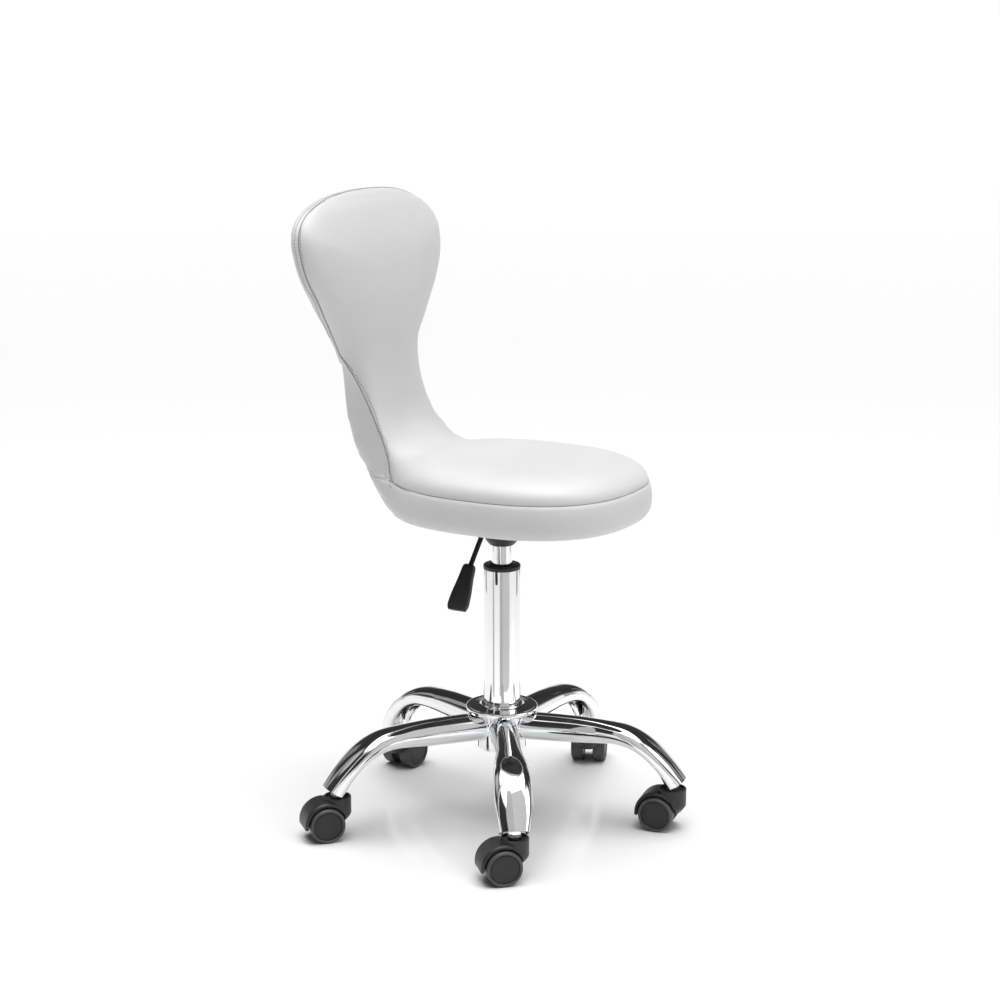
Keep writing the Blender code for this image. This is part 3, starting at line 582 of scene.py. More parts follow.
def caster_hood(name):
    """Moulded hood: side cheeks rounded into a dome over the wheels, a round neck with a recessed top."""
    pts = []
    for a in np.linspace(-8, 118, 45):
        r = HOOD_R
        pts.append((TRAIL + r * math.cos(math.radians(a)), WHEEL_R + r * math.sin(math.radians(a))))
    pts += [(0.0010, 0.0475), (-0.0010, 0.0450), (-0.0010, 0.0300), (0.0060, 0.0240), (0.0140, 0.0185)]
    # rounded flanks: several slices across the width
    rings = []
    lat = np.concatenate([np.linspace(-1, -0.80, 7), np.linspace(-0.6, 0.6, 5), np.linspace(0.80, 1, 7)])
    for q in lat:
        e = max(0.0, (abs(q) - 0.80) / 0.20)
        shrink = 0.0042 * (1 - math.sqrt(max(0.0, 1 - e * e)))
        ring = []
        for x, z in pts:
            dx, dz = x - TRAIL, z - WHEEL_R
            L = math.hypot(dx, dz)
            k = (L - shrink) / L
            ring.append((TRAIL + dx * k, q * HOOD_HALF, WHEEL_R + dz * k))
        rings.append(ring)
    body = rings_mesh(name, rings)
    scene.collection.objects.link(body)
    cut = []
    neck = spun("neck", fillet([(0.0, 0.0548), (0.0154, 0.0548), (0.0158, 0.0573), (0.0176, 0.0573), (0.0186, 0.0563),
                                (0.0186, 0.0325), (0.0118, 0.0240), (0.0, 0.0240)],
                               [0, 0.0005, 0.0003, 0.0006, 0.0008, 0.003, 0.002, 0], closed=False), None, closed=False, steps=72)
    neck.data.transform(Matrix.Translation((-OX, -OY, 0)))
    cut.append(neck)
    for side in (1, -1):
        m = Matrix.Translation((TRAIL, 0, WHEEL_R)) @ Matrix.Rotation(-side * math.pi / 2, 4, "X")
        c = spun("clr", [(0.0, 0.0400), (WHEEL_R + 0.0027, 0.0400), (WHEEL_R + 0.0027, 0.0064), (0.0, 0.0064)], None,
                 closed=False, steps=96)
        c.data.transform(Matrix.Translation((-OX, -OY, 0)))
        c.data.transform(m)
        cut.append(c)
    m = Matrix.Translation((TRAIL, 0, WHEEL_R)) @ Matrix.Rotation(-math.pi / 2, 4, "X")
    c = spun("bor", [(0.0, 0.03), (0.0033, 0.03), (0.0033, -0.03), (0.0, -0.03)], None, closed=False, steps=32)
    c.data.transform(Matrix.Translation((-OX, -OY, 0)))
    c.data.transform(m)
    cut.append(c)
    boolean_apply(body, cut, ["UNION", "DIFFERENCE", "DIFFERENCE", "DIFFERENCE"])
    bv = body.modifiers.new("edge", "BEVEL")
    bv.width = 0.0005
    bv.segments = 2
    bv.limit_method = "ANGLE"
    bv.angle_limit = math.radians(50)
    bv.harden_normals = False
    bake_modifiers(body)
    body.data.shade_smooth()
    body.data.set_sharp_from_angle(angle=math.radians(40))
    return body


proto = caster_hood("hood_proto")
hood_mesh = proto.data
bpy.data.objects.remove(proto, do_unlink=True)

WHEEL_PROFILE = [  # (radius, distance out from the caster's middle, 0 tread / 1 centre)
    (0.0, 0.0232), (0.0150, 0.0233), (0.0182, 0.0231), (0.0188, 0.0226), (0.0192, 0.0227), (0.0196, 0.0238),
    (0.0208, 0.0247), (0.0222, 0.0244), (0.0232, 0.0232), (0.0235, 0.0214), (0.0235, 0.0086), (0.0231, 0.0074),
    (0.0222, 0.0069), (0.0150, 0.0069), (0.0146, 0.0080), (0.0070, 0.0080), (0.0066, 0.0069), (0.0033, 0.0069), (0.0033, 0.0225), (0.0, 0.0225)]


def wheel_mesh():
    o = spun("wp", fillet(WHEEL_PROFILE, 0.0006, closed=False, seg=3), None, closed=False, steps=96)
    o.data.transform(Matrix.Translation((-OX, -OY, 0)))
    me = o.data
    me.materials.clear()
    me.materials.append(CAPM)
    me.materials.append(TREAD)
    for p in me.polygons:
        r = math.hypot(p.center.x, p.center.y)
        p.material_index = 1 if r > 0.0194 else 0
    me.shade_smooth()
    me.set_sharp_from_angle(angle=math.radians(40))
    bpy.data.objects.remove(o, do_unlink=True)
    return me


WM = wheel_mesh()
for k, ang in enumerate(LEG_ANGLES):
    n = k + 1
    a = math.radians(ang)
    T = Matrix.Translation((OX + LEG_R * math.cos(a), OY + LEG_R * math.sin(a), 0)) @ Matrix.Rotation(math.radians(CASTER_YAW[k]), 4, "Z")
    h = bpy.data.objects.new("caster_body_%d" % n, hood_mesh.copy())
    h.data.transform(T)
    h.data.materials.clear(); h.data.materials.append(NYLON)
    scene.collection.objects.link(h)
    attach(h, "caster_%d" % n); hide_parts("caster_hood_%d" % n)
    ax = spun("axle_pin_%d" % n, fillet([(0.0, 0.0221), (0.0030, 0.0221), (0.0030, -0.0221), (0.0, -0.0221)], [0, 0.0005, 0.0005, 0], closed=False),
              None, closed=False, steps=32)
    ax.data.transform(Matrix.Translation((-OX, -OY, 0)))
    ax.data.transform(T @ Matrix.Translation((TRAIL, 0, WHEEL_R)) @ Matrix.Rotation(-math.pi / 2, 4, "X"))
    ax.data.materials.clear(); ax.data.materials.append(STEEL)
    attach(ax, "caster_%d" % n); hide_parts("caster_axle_%d" % n)
    for side, tag in ((1, "a"), (-1, "b")):
        w = bpy.data.objects.new("twin_wheel_%d%s" % (n, tag), WM.copy())
        w.data.transform(T @ Matrix.Translation((TRAIL, 0, WHEEL_R)) @ Matrix.Rotation(-side * math.pi / 2, 4, "X"))
        scene.collection.objects.link(w)
        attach(w, "wheel_%d%s" % (n, tag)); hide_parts("caster_wheel_%d%s" % (n, tag))
    st = spun("stem_pin_%d" % n, fillet([(0.0, 0.0745), (0.0045, 0.0745), (0.0055, 0.0735), (0.0055, 0.0690), (0.0050, 0.0686),
                                         (0.0050, 0.0664), (0.0055, 0.0660), (0.0055, 0.0606), (0.0085, 0.0606), (0.0085, 0.0552), (0.0, 0.0552)],
                                        [0, 0.0005, 0.0005, 0.0003, 0.0003, 0.0003, 0.0003, 0.0005, 0.0008, 0.0005, 0], closed=False),
              None, closed=False, steps=40)
    st.data.transform(Matrix.Translation((-OX, -OY, 0)))
    st.data.transform(T)
    st.data.materials.clear(); st.data.materials.append(STEEL)
    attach(st, "base"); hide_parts("caster_stem_%d" % n)

# ------------------------------------------------------------------ lever
def wp(x, z):
    return Vector((OX + x, OY, z))


raw = [(0.0030, 0.4225), (-0.0280, 0.4225), (-0.0330, 0.4220), (-0.0368, 0.4200), (-0.0400, 0.4165), (-0.0450, 0.4106), (-0.0920, 0.3560)]
acc = [0.0]
for p, q in zip(raw, raw[1:]):
    acc.append(acc[-1] + math.hypot(p[0] - q[0], p[1] - q[1]))
tt = np.linspace(0, acc[-1], 60)
px_, pz_ = pchip(acc, [p[0] for p in raw], tt), pchip(acc, [p[1] for p in raw], tt)
rod = tube("release_rod", [wp(x, z) for x, z in zip(px_, pz_)], 0.0033, POWDER, 24)
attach(rod, "lever"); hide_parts("lever_rod")

p0, p1 = Vector((-0.0835, 0.0, 0.3690)), Vector((-0.1160, 0.0, 0.3185))
axis = (p1 - p0).normalized()
face = Vector((axis.z, 0, -axis.x))
if face.z < 0:
    face = -face
PAD = ((0.0000, 0.0126, 0.0078), (0.0006, 0.0134, 0.0086), (0.0030, 0.0160, 0.0098), (0.0200, 0.0202, 0.0100), (0.0440, 0.0276, 0.0096),
       (0.0555, 0.0292, 0.0090), (0.0562, 0.0291, 0.0088), (0.0622, 0.0258, 0.0066), (0.0630, 0.0246, 0.0058))
d_ = [q[0] for q in PAD]
dd = np.concatenate([np.linspace(0, 0.003, 8), np.linspace(0.0045, 0.0550, 22), np.linspace(0.0555, 0.063, 12)])
ww, th_ = pchip(d_, [q[1] for q in PAD], dd), pchip(d_, [q[2] for q in PAD], dd)
rings = []
for d, w, t in zip(dd, ww, th_):
    c = p0 + axis * float(d) + Vector((OX, OY, 0))
    rings.append([c + Vector((0, a, 0)) + face * b for a, b in power_ring(6.0, 48, w / 2, t / 2, 0.5)])
pad = rings_mesh("release_paddle", rings)
link(pad, PLASTIC)
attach(pad, "lever"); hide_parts("lever_paddle")
q0, q1 = wp(-0.0450, 0.4106), wp(-0.0920, 0.3560)
dr = (q1 - q0).normalized()
rm = dr.to_track_quat("Z", "Y").to_matrix().to_4x4()
# ------------------------------------------------------------------ upholstery: continuous front panel
SEAT_U, SEAT_A, SEAT_B, SEAT_N, SEAM_Z = 0.0270, 0.1650, 0.1470, 2.45, 0.4705
#        s      u_seam   z_seam   u_top    z_top    reach
PANEL = np.array((
    (0.000, 0.1920, 0.4705, 0.1920, 0.4985, 0.080), (0.050, 0.1420, 0.4705, 0.1420, 0.5020, 0.080),
    (0.142, 0.0500, 0.4705, 0.0500, 0.5036, 0.080), (0.212, -0.0200, 0.4705, -0.0200, 0.5036, 0.080),
    (0.252, -0.0580, 0.4705, -0.0520, 0.5044, 0.080), (0.284, -0.0890, 0.4707, -0.0760, 0.5062, 0.078),
    (0.306, -0.1090, 0.4716, -0.0945, 0.5096, 0.074), (0.322, -0.1190, 0.4765, -0.1100, 0.5146, 0.071),
    (0.342, -0.1240, 0.4890, -0.1245, 0.5230, 0.069), (0.364, -0.1330, 0.5065, -0.1385, 0.5370, 0.067),
    (0.392, -0.1470, 0.5270, -0.1490, 0.5570, 0.067), (0.422, -0.1620, 0.5550, -0.1550, 0.5830, 0.070),
    (0.456, -0.1790, 0.5910, -0.1590, 0.6110, 0.076), (0.478, -0.1895, 0.6140, -0.1600, 0.6300, 0.082),
    (0.496, -0.1965, 0.6320, -0.1597, 0.6450, 0.090), (0.520, -0.1968, 0.6560, -0.1577, 0.6640, 0.100),
    (0.560, -0.1968, 0.6960, -0.1583, 0.6990, 0.110), (0.600, -0.2005, 0.7360, -0.1632, 0.7370, 0.112),
    (0.640, -0.2050, 0.7760, -0.1720, 0.7760, 0.112), (0.670, -0.2100, 0.8055, -0.1822, 0.8050, 0.105),
    (0.690, -0.2135, 0.8245, -0.1898, 0.8235, 0.095), (0.7060, -0.2150, 0.8395, -0.2010, 0.8375, 0.090)))
S_END = PANEL[-1, 0]
S_CAP, W_CAP = 0.638, 0.1625
WIDTH = np.array(((0.284, 0.1152), (0.296, 0.1075), (0.306, 0.0990), (0.316, 0.0915), (0.326, 0.0870), (0.342, 0.0828),
                  (0.364, 0.0765), (0.392, 0.0695), (0.422, 0.0672), (0.456, 0.0720), (0.478, 0.0795), (0.496, 0.0885),
                  (0.520, 0.1030), (0.560, 0.1290), (0.600, 0.1530), (0.622, 0.1602), (S_CAP, W_CAP)))


def half_width(s):
    s = float(s)
    if s <= 0.284:
        q = abs((0.192 - s) - SEAT_U) / SEAT_A
        return SEAT_B * max(0.0, 1 - q ** SEAT_N) ** (1 / SEAT_N)
    if s >= S_CAP:
        q = (s - S_CAP) / (S_END - S_CAP)
        return W_CAP * max(0.0, 1 - q ** 2.3) ** (1 / 2.3)
    return float(pchip(WIDTH[:, 0], WIDTH[:, 1], s)[0])


def panel_row(s):
    return [float(pchip(PANEL[:, 0], PANEL[:, i], s)[0]) for i in range(1, 6)]


e0 = 0.062 * (1 - np.cos(np.linspace(0, math.pi / 2, 40)))
mid = np.linspace(0.062, 0.644, 220)[1:]
e1 = S_END - (S_END - 0.644) * (1 - np.sin(np.linspace(0, math.pi / 2, 40)))[1:]
S_ROWS = np.concatenate([e0, mid, e1])
W_ROWS = np.array([half_width(s) for s in S_ROWS])
OUT = np.stack([S_ROWS, W_ROWS], 1)


def dist_to_seam(s, v):
    """Distance from points (s, v>=0) to the outline of the flat panel."""
    P = np.stack([s, v], -1).reshape(-1, 1, 2)
    A, B = OUT[:-1][None], OUT[1:][None]
    AB = B - A
    t = np.clip(((P - A) * AB).sum(2) / ((AB ** 2).sum(2) + 1e-12), 0, 1)
    return np.sqrt(((P - A - AB * t[..., None]) ** 2).sum(2)).min(1).reshape(np.shape(s))


NC = 41
tc = np.sin(np.linspace(-math.pi / 2, math.pi / 2, 2 * NC + 1))      # crowded toward both seams
rowdata = np.array([panel_row(s) for s in S_ROWS])
V = W_ROWS[:, None] * tc[None]
Sg = np.repeat(S_ROWS[:, None], len(tc), 1)
Dg = dist_to_seam(Sg, np.abs(V))
reach = rowdata[:, 4][:, None]
POWER = 2.35
H = (1 - (1 - np.clip(Dg / reach, 0, 1)) ** POWER) ** (1 / POWER)
U_ = rowdata[:, 0][:, None] + (rowdata[:, 2] - rowdata[:, 0])[:, None] * H
Z_ = rowdata[:, 1][:, None] + (rowdata[:, 3] - rowdata[:, 1])[:, None] * H
# a shallow sit-worn dip, and a fold of fullness where the seat turns up into the back
Z_ = Z_ - 0.0022 * np.exp(-((Sg - 0.165) / 0.075) ** 2 - (V / 0.075) ** 2)
fold = 0.0030 * np.exp(-((Sg - 0.300) / 0.020) ** 2) * np.exp(-((np.abs(V) - 0.062) / 0.030) ** 2)
Z_ = Z_ - fold
U_ = U_ + 0.5 * fold
arc = np.cumsum(np.r_[0, np.hypot(np.diff(S_ROWS), np.diff(W_ROWS))])[:, None]
rip = 0.00020 * np.sin(arc / 0.0125 + 1.3 * np.sin(arc / 0.047)) * np.exp(-((Dg - 0.010) / 0.008) ** 2)
U_ = U_ + rip * 0.5
Z_ = Z_ + rip
nr, ncl = U_.shape
verts, faces = [], []
top = [[-1] * ncl for _ in range(nr)]
for i in range(nr):
    for j in range(ncl):
        if W_ROWS[i] < 1e-6 and j > 0:
            top[i][j] = top[i][0]
            continue
        top[i][j] = len(verts)
        verts.append(W(U_[i, j], V[i, j], Z_[i, j]))
bot = [[-1] * ncl for _ in range(nr)]
for i in range(nr):
    for j in range(ncl):
        if j in (0, ncl - 1) or W_ROWS[i] < 1e-6:
            bot[i][j] = top[i][j]
            continue
        bot[i][j] = len(verts)
        f = 0.0075 * min(1.0, Dg[i, j] / 0.01)
        du, dz = rowdata[i, 2] - rowdata[i, 0], rowdata[i, 3] - rowdata[i, 1]
        L = math.hypot(du, dz) or 1
        verts.append(W(rowdata[i, 0] + du / L * f, V[i, j], rowdata[i, 1] + dz / L * f))


def quad(a, b, c, d):
    q = []
    for x in (a, b, c, d):
        if x not in q:
            q.append(x)
    return tuple(q) if len(q) > 2 else None


for i in range(nr - 1):
    for j in range(ncl - 1):
        for g, fl_ in ((top, False), (bot, True)):
            q = quad(g[i][j], g[i][j + 1], g[i + 1][j + 1], g[i + 1][j])
            if q:
                faces.append(tuple(reversed(q)) if fl_ else q)
panel = obj_from("pad_front", verts, faces)
clean(panel, 1e-7)
link(panel, LEATHER, True, 60)
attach(panel, "seat"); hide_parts("seat_cushion", "back_cushion")

# ------------------------------------------------------------------ band round the seat, running into the lower rear cover
REAR_Z = np.array(((0.4200, -0.1390), (0.4240, -0.1435), (0.4290, -0.1510), (0.4370, -0.1585), (0.4460, -0.1660), (0.4600, -0.1770),
                   (0.4720, -0.1875), (0.4840, -0.1970), (0.4920, -0.2020), (0.5120, -0.2110), (0.5320, -0.2170), (0.5480, -0.2205),
                   (0.5700, -0.2230), (0.6000, -0.2225), (0.6180, -0.2205), (0.6290, -0.2188), (0.6450, -0.2168), (0.6600, -0.2155)))
BAND = np.array((  # height, outward offset
    (0.4262, -0.0150), (0.4241, -0.0105), (0.4243, -0.0062), (0.4268, -0.0016), (0.4310, 0.0015), (0.4370, 0.0038),
    (0.4460, 0.0050), (0.4560, 0.0049), (0.4640, 0.0036), (0.4690, 0.0016), (0.4705, 0.0002)))
U_K = -0.1120
COVER_S = 0.5100          # where the lower rear cover ends, along the panel


def band_rows(count=30):
    d = np.r_[0, np.cumsum(np.hypot(np.diff(BAND[:, 0]), np.diff(BAND[:, 1])))]
    q = np.linspace(0, d[-1], count)
    return np.stack([spline(d, BAND[:, i], q) for i in range(2)], 1)


def front_curve(off, count):
    """From the right-hand corner round the front to the left-hand corner."""
    b, a = SEAT_B + off, SEAT_A + off
    qk = (SEAT_U - U_K) / a
    vk = b * max(0.0, 1 - qk ** SEAT_N) ** (1 / SEAT_N)
    tk = math.acos(min(1.0, qk ** (SEAT_N / 2)))
    side = []
    for t in np.linspace(tk, math.pi / 2, 26)[:-1]:
        side.append((SEAT_U - a * math.cos(t) ** (2 / SEAT_N), b * math.sin(t) ** (2 / SEAT_N)))
    for t in np.linspace(math.pi / 2, 0.0, count):
        side.append((SEAT_U + a * max(math.cos(t), 0.0) ** (2 / SEAT_N), b * max(math.sin(t), 0.0) ** (2 / SEAT_N)))
    return side + [(u, -v) for u, v in reversed(side[:-1])], vk


def rear_curve(z, u_p, v_p, count=61):
    """From the left-hand seam round the back to the right-hand seam."""
    r = float(pchip(REAR_Z[:, 0], REAR_Z[:, 1], z)[0])
    c = float(np.interp(z, [0.4240, 0.4705, 0.480, 0.490, 0.505, 0.520, 0.540], [0.027, 0.0, -0.030, -0.065, -0.105, -0.130, -0.155]))
    c = max(c, u_p)
    n = float(np.interp(z, [0.4240, 0.4460, 0.4705, 0.49, 0.54, 0.60, 0.645], [2.3, 2.5, 2.8, 3.15, 3.2, 3.1, 2.75]))
    A = c - r
    q = (c - u_p) / A
    B = v_p / max(1e-6, 1 - q ** n) ** (1 / n)
    tk = math.asin(min(1.0, (v_p / B) ** (n / 2)))
    pts = []
    for t in np.linspace(-tk, tk, count):
        s_ = abs(math.sin(t)) ** (2 / n) * (1 if t > 0 else -1)
        pts.append((c - A * max(math.cos(t), 0.0) ** (2 / n), B * s_))
    return pts


rows = []
for z, off in band_rows():
    f, vk = front_curve(off, 60)
    rows.append(("loop", z, f, rear_curve(z, U_K, vk)))
for s in np.linspace(0.3110, COVER_S, 50):
    u_p, z_p = panel_row(s)[:2]
    if z_p <= 0.4712:
        continue
    rows.append(("open", z_p, None, rear_curve(z_p, u_p, half_width(s))))
NF = len(rows[0][2])
verts, faces, idx = [], [], []
for kind, z, f, rear in rows:
    if kind == "loop":
        ring = []
        for u, v in f:
            ring.append(len(verts)); verts.append(W(u, v, z))
        for u, v in rear[1:-1]:
            ring.append(len(verts)); verts.append(W(u, v, z))
    else:
        ring = [None] * NF
        ring[NF - 1] = len(verts); verts.append(W(rear[0][0], rear[0][1], z))
        for u, v in rear[1:-1]:
            ring.append(len(verts)); verts.append(W(u, v, z))
        ring[0] = len(verts); verts.append(W(rear[-1][0], rear[-1][1], z))
    idx.append((kind, ring))
for (ka, a), (kb, b) in zip(idx, idx[1:]):
    n_ = len(a)
    for j in range(n_):
        k = (j + 1) % n_
        if kb == "open" and j < NF - 1:
            continue
        faces.append((a[j], a[k], b[k], b[j]))
band = obj_from("band_and_cover", verts, faces)
clean(band, 1e-7)
link(band, LEATHER, True, 60)
so = band.modifiers.new("cloth", "SOLIDIFY")
so.thickness = 0.0014
so.offset = -1.0
bake_modifiers(band)
band.data.shade_smooth(); band.data.set_sharp_from_angle(angle=math.radians(60))
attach(band, "seat"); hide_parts("seat_boxing", "back_cover")

# ------------------------------------------------------------------ upper rear panel, wrapping forward to the seam
REAR_UP = np.array(((0.6200, -0.2175), (0.6300, -0.2150), (0.6700, -0.2130), (0.7200, -0.2165), (0.7600, -0.2225), (0.7830, -0.2265),
                    (0.8050, -0.2295), (0.8210, -0.2300), (0.8325, -0.2285), (0.8400, -0.2255)))
verts, faces, grid = [], [], []
HALF_N = 34
for s in np.concatenate([np.linspace(0.4800, 0.644, 62), e1]):
    u_p, z_p = panel_row(s)[:2]
    w = half_width(s)
    r = float(pchip(REAR_UP[:, 0], REAR_UP[:, 1], z_p)[0])
    k = min(1.0, max(0.0, (s - 0.500) / 0.06)) * min(1.0, w / 0.06)
    u_w, w_w = u_p - 0.0075 * k, w + 0.0032 * k
    n = 2.6
    half = []
    for t in np.linspace(0, math.pi / 2, HALF_N):
        half.append((u_w - (u_w - r) * max(0.0, math.cos(t)) ** (2 / n), w_w * math.sin(t) ** (2 / n)))
    side = []
    for q in np.linspace(0.2, 1.0, 5):
        side.append((u_w + (u_p - u_w) * q, w_w + (w - w_w) * q ** 2))
    full = half + side
    line = [(u, -v) for u, v in reversed(full[1:])] + full
    ids = []
    for u, v in line:
        ids.append(len(verts))
        verts.append(W(u, v, z_p))
    grid.append(ids)
for a, b in zip(grid, grid[1:]):
    for j in range(len(a) - 1):
        faces.append((a[j], a[j + 1], b[j + 1], b[j]))
rp = obj_from("rear_panel", verts, faces)
clean(rp, 1e-7)
link(rp, LEATHER, True, 60)
so = rp.modifiers.new("cloth", "SOLIDIFY")
so.thickness = 0.0012
so.offset = -1.0
bake_modifiers(rp)
rp.data.shade_smooth(); rp.data.set_sharp_from_angle(angle=math.radians(60))
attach(rp, "seat"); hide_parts("back_panel")

# ------------------------------------------------------------------ seams and topstitching
def bvh_of(obj):
    return BVHTree.FromPolygons([v.co.copy() for v in obj.data.vertices], [tuple(p.vertices) for p in obj.data.polygons])


T_PANEL, T_BAND, T_REAR = bvh_of(panel), bvh_of(band), bvh_of(rp)


def seam_point(s, side):
    u, z = panel_row(s)[:2]
    return W(u, side * half_width(s), z)


def resample(pts, step):
    P = np.array([tuple(p) for p in pts])
    d = np.r_[0, np.cumsum(np.linalg.norm(np.diff(P, axis=0), axis=1))]
    q = np.arange(0, d[-1], step)
    return [Vector([float(np.interp(x, d, P[:, i])) for i in range(3)]) for x in q]


def follow(pts, tree, other, shift, lift):
    """Points moved sideways from a seam onto a surface: shift away from `other`, then lifted off it."""
    out = []
    for i, p in enumerate(pts):
        t = (pts[min(i + 1, len(pts) - 1)] - pts[max(i - 1, 0)]).normalized()
        loc, nor, _, _ = tree.find_nearest(p)
        lo2, no2, _, _ = other.find_nearest(p)
        side = t.cross(nor)
        # choose the side that moves along this surface, away from the other one
        c1, c2 = p + side * shift, p - side * shift
        d1, d2 = (tree.find_nearest(c1)[3], tree.find_nearest(c2)[3])
        c = c1 if d1 < d2 else c2
        c = c + (c - CENTRE(c)).normalized() * 0.005      # come at the skin from outside
        loc, nor, _, _ = tree.find_nearest(c)
        mid_ = loc + nor * lift if (loc + nor * lift - CENTRE(loc)).length > (loc - nor * lift - CENTRE(loc)).length else loc - nor * lift
        out.append((mid_, t))
    return out


def CENTRE(p):
    """A point well inside the upholstery near p, to tell outward from inward."""
    u, v, z = -(p.y - OY), -(p.x - OX), p.z
    if z < 0.50:
        return W(min(max(u, -0.10), 0.14) * 0.9, max(-0.10, min(0.10, v)) * 0.8, 0.455)
    r = float(np.interp(z, [0.50, 0.53, 0.60, 0.67, 0.76, 0.84], [-0.155, -0.175, -0.190, -0.190, -0.198, -0.213]))
    wv = float(np.interp(z, [0.50, 0.60, 0.67, 0.76, 0.81, 0.84], [0.055, 0.055, 0.09, 0.14, 0.10, 0.02]))
    return W(r, max(-wv, min(wv, v)), min(z, 0.815))


def stitches(name, line, length=0.0030, pitch=0.0046, radius=0.00055):
    """Short rounded thread ends, evenly spaced along a line of (point, tangent)."""
    P = np.array([tuple(p) for p, t in line])
    d = np.r_[0, np.cumsum(np.linalg.norm(np.diff(P, axis=0), axis=1))]
    verts, faces = [], []
    x = pitch / 2
    while x + length < d[-1]:
        a = Vector([float(np.interp(x, d, P[:, i])) for i in range(3)])
        b = Vector([float(np.interp(x + length, d, P[:, i])) for i in range(3)])
        m = Vector([float(np.interp(x + length / 2, d, P[:, i])) for i in range(3)])
        t = (b - a).normalized()
        ref = Vector((0, 0, 1)) if abs(t.z) < 0.9 else Vector((1, 0, 0))
        n1 = t.cross(ref).normalized()
        n2 = t.cross(n1)
        base = len(verts)
        for f, rr in ((0.0, 0.45), (0.12, 0.9), (0.5, 1.0), (0.88, 0.9), (1.0, 0.45)):
            c = a.lerp(b, f) + (m - (a + b) / 2) * (1 - abs(2 * f - 1))
            for k in range(6):
                g = 2 * math.pi * k / 6
                verts.append(c + (n1 * math.cos(g) + n2 * math.sin(g)) * radius * rr)
        for r_ in range(4):
            for k in range(6):
                k2 = (k + 1) % 6
                faces.append((base + r_ * 6 + k, base + r_ * 6 + k2, base + r_ * 6 + 6 + k2, base + r_ * 6 + 6 + k))
        faces.append(tuple(base + k for k in reversed(range(6))))
        faces.append(tuple(base + 24 + k for k in range(6)))
        x += pitch
    o = obj_from(name, verts, faces)
    link(o, SHADED_THREAD, True, 80)
    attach(o, "seat")
    return o


def seam_cord(name, pts, radius, mat):
    o = tube(name, pts, radius, mat, 8)
    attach(o, "seat")
    return o


loop_s = list(np.linspace(0.0, S_END, 620))
right = [seam_point(s, 1) for s in loop_s]
left = [seam_point(s, -1) for s in reversed(loop_s)]
whole = resample(right + left[1:], 0.003)
seat_seam = resample([seam_point(s, 1) for s in np.linspace(0.306, 0.0, 300)] + [seam_point(s, -1) for s in np.linspace(0.0, 0.306, 300)][1:], 0.003)
# the seam cord is drawn dark grey as painted shade of the seam groove
seam_cord("seam_fold_painted_shade", [p for p in whole], 0.00075, SEAM_SHADE)
stitches("stitch_seat", follow(seat_seam, T_BAND, T_PANEL, 0.0066, 0.0001))
for side, tag in ((1, "right"), (-1, "left")):
    low = resample([seam_point(s, side) for s in np.linspace(0.308, COVER_S, 220)], 0.003)
    stitches("stitch_cover_" + tag, follow(low, T_BAND, T_PANEL, 0.0042, 0.0001))
    stitches("stitch_lower_" + tag, follow(low, T_PANEL, T_BAND, 0.0030, 0.0001))
high = resample([seam_point(s, 1) for s in np.linspace(COVER_S + 0.005, S_END, 300)] + [seam_point(s, -1) for s in np.linspace(S_END, COVER_S + 0.005, 300)][1:], 0.003)
stitches("stitch_back_inner", follow(high, T_PANEL, T_REAR, 0.0030, 0.0001))
stitches("stitch_back_outer", follow(high, T_REAR, T_PANEL, 0.0030, 0.0001))
# top edge of the lower rear cover: a turned hem lying on the rear panel
u_p, z_p = panel_row(COVER_S)[:2]
hem = [W(u - 0.0006, v, z_p - 0.0006) for u, v in rear_curve(z_p, u_p, half_width(COVER_S) + 0.0006)]
seam_cord("cover_hem", hem, 0.0010, LEATHER)
hem2 = [W(u, v, z_p - 0.0052) for u, v in rear_curve(z_p - 0.0052, u_p + 0.0015, half_width(COVER_S - 0.0045))]
stitches("stitch_hem", follow(resample(hem2, 0.003), T_BAND, T_PANEL, 0.0, 0.0001))

# ------------------------------------------------------------------ carried-over CAD nodes
for name, m in (("column_base_plate", STEEL), ("thrust_bearing", STEEL), ("piston_rod", STEEL), ("rod_clip", STEEL),
                ("cylinder_guide", PLASTIC), ("valve_pin", BRASS), ("taper_socket", STEEL), ("lift_housing", POWDER),
                ("mount_plate", POWDER), ("under_cover", LINING), ("shell_board", WOOD)):
    o = NODES[name]
    o.data.materials.clear()
    o.data.materials.append(m)

# ------------------------------------------------------------------ stage and light
scene.view_settings.view_transform = "Standard"
bm = bmesh.new()
bmesh.ops.create_grid(bm, x_segments=1, y_segments=1, size=300.0)
me = bpy.data.meshes.new("floor"); bm.to_mesh(me); bm.free()
floor = bpy.data.objects.new("floor", me)
scene.collection.objects.link(floor)
fm, nt, b = new_mat("floor_white")
b.inputs["Base Color"].default_value = (0.80, 0.80, 0.80, 1)
b.inputs["Roughness"].default_value = 0.12
b.inputs["Specular IOR Level"].default_value = 0.35
me.materials.append(fm)

world = bpy.data.worlds.new("studio")
scene.world = world
world.use_nodes = True
wn = world.node_tree
bg = wn.nodes["Background"]
tcn = wn.nodes.new("ShaderNodeTexCoord")
sep = wn.nodes.new("ShaderNodeSeparateXYZ")
wn.links.new(tcn.outputs["Generated"], sep.inputs["Vector"])


def wmath(op, a_, b_=None):
    n_ = wn.nodes.new("ShaderNodeMath")
    n_.operation = op
    for i_, v_ in enumerate((a_, b_)):
        if v_ is None:
            continue
        if hasattr(v_, "is_output"):
            wn.links.new(v_, n_.inputs[i_])
        else:
            n_.inputs[i_].default_value = v_
    return n_.outputs["Value"]


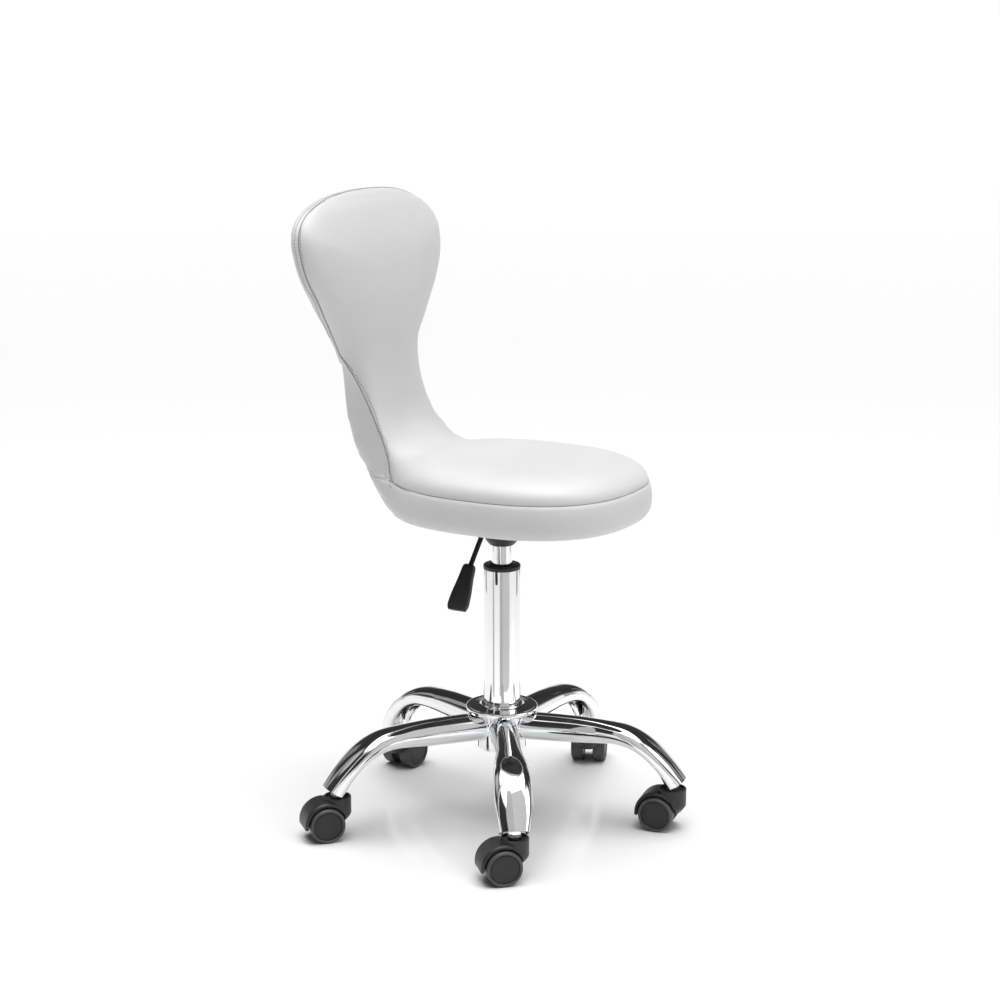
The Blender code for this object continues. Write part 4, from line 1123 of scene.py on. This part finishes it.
def softbox(az_cam, el, inner, outer, level):
    """A round soft light at infinity; az_cam is measured from the picture's right, seen from above."""
    a_ = math.radians(az_cam) - PSI
    e_ = math.radians(el)
    d_ = (math.cos(a_) * math.cos(e_), math.sin(a_) * math.cos(e_), math.sin(e_))
    dot = wn.nodes.new("ShaderNodeVectorMath")
    dot.operation = "DOT_PRODUCT"
    wn.links.new(tcn.outputs["Generated"], dot.inputs[0])
    dot.inputs[1].default_value = d_
    mr = wn.nodes.new("ShaderNodeMapRange")
    mr.interpolation_type = "SMOOTHSTEP"
    wn.links.new(dot.outputs["Value"], mr.inputs["Value"])
    mr.inputs["From Min"].default_value = math.cos(math.radians(outer))
    mr.inputs["From Max"].default_value = math.cos(math.radians(inner))
    mr.inputs["To Min"].default_value = 0.0
    mr.inputs["To Max"].default_value = level
    return mr.outputs["Result"]


band_ = wn.nodes.new("ShaderNodeValToRGB")
wn.links.new(sep.outputs["Z"], band_.inputs["Fac"])
els = band_.color_ramp.elements
els[0].position, els[0].color = 0.0, (1.03, 1.03, 1.03, 1)
els[1].position, els[1].color = 1.0, (0.06, 0.06, 0.06, 1)
for pos, c in ((0.06, 1.0), (0.15, 0.40), (0.24, 0.05), (0.60, 0.03)):
    e_ = els.new(pos)
    e_.color = (c, c, c, 1)
total = band_.outputs["Color"]
total = wmath("ADD", total, softbox(0, 90, 20, 34, 6.6))
total = wmath("ADD", total, softbox(-18, 36, 12, 26, 2.3))
total = wmath("ADD", total, softbox(-95, 58, 6, 16, 0.6))
total = wmath("ADD", total, softbox(165, 40, 6, 16, 0.5))
wn.links.new(total, bg.inputs["Color"])
bg.inputs["Strength"].default_value = 1.0


def flag(name, az_cam, dist, width, height, tone, z0=0.0):
    """A standing studio flag that only shows in the chrome."""
    a_ = math.radians(az_cam) - PSI
    c_ = Vector((OX + dist * math.cos(a_), OY + dist * math.sin(a_), z0))
    t_ = Vector((-math.sin(a_), math.cos(a_), 0))
    o_ = obj_from(name, [c_ - t_ * width / 2, c_ + t_ * width / 2, c_ + t_ * width / 2 + Vector((0, 0, height)), c_ - t_ * width / 2 + Vector((0, 0, height))], [(0, 1, 2, 3)])
    m_, nt_, b_ = new_mat(name + "_mat")
    b_.inputs["Base Color"].default_value = (tone, tone, tone, 1)
    b_.inputs["Roughness"].default_value = 0.9
    o_.data.materials.append(m_)
    scene.collection.objects.link(o_)
    o_.visible_camera = False
    o_.visible_diffuse = False
    o_.visible_shadow = False
    o_.visible_transmission = False


flag("flag_a", -90 - 52, 0.47, 0.085, 1.1, 0.62)
flag("flag_b", -90 + 22, 0.50, 0.44, 1.1, 0.80)
flag("flag_g", -90 - 4, 0.47, 0.15, 1.1, 0.66)
flag("flag_c", -90 + 104, 1.5, 0.34, 1.1, 0.40)
flag("flag_d", -90 - 112, 1.5, 0.30, 1.1, 0.30)
flag("flag_e", -90 - 134, 1.6, 0.25, 0.9, 0.20)
flag("flag_f", -90 + 134, 1.6, 0.25, 0.9, 0.20)
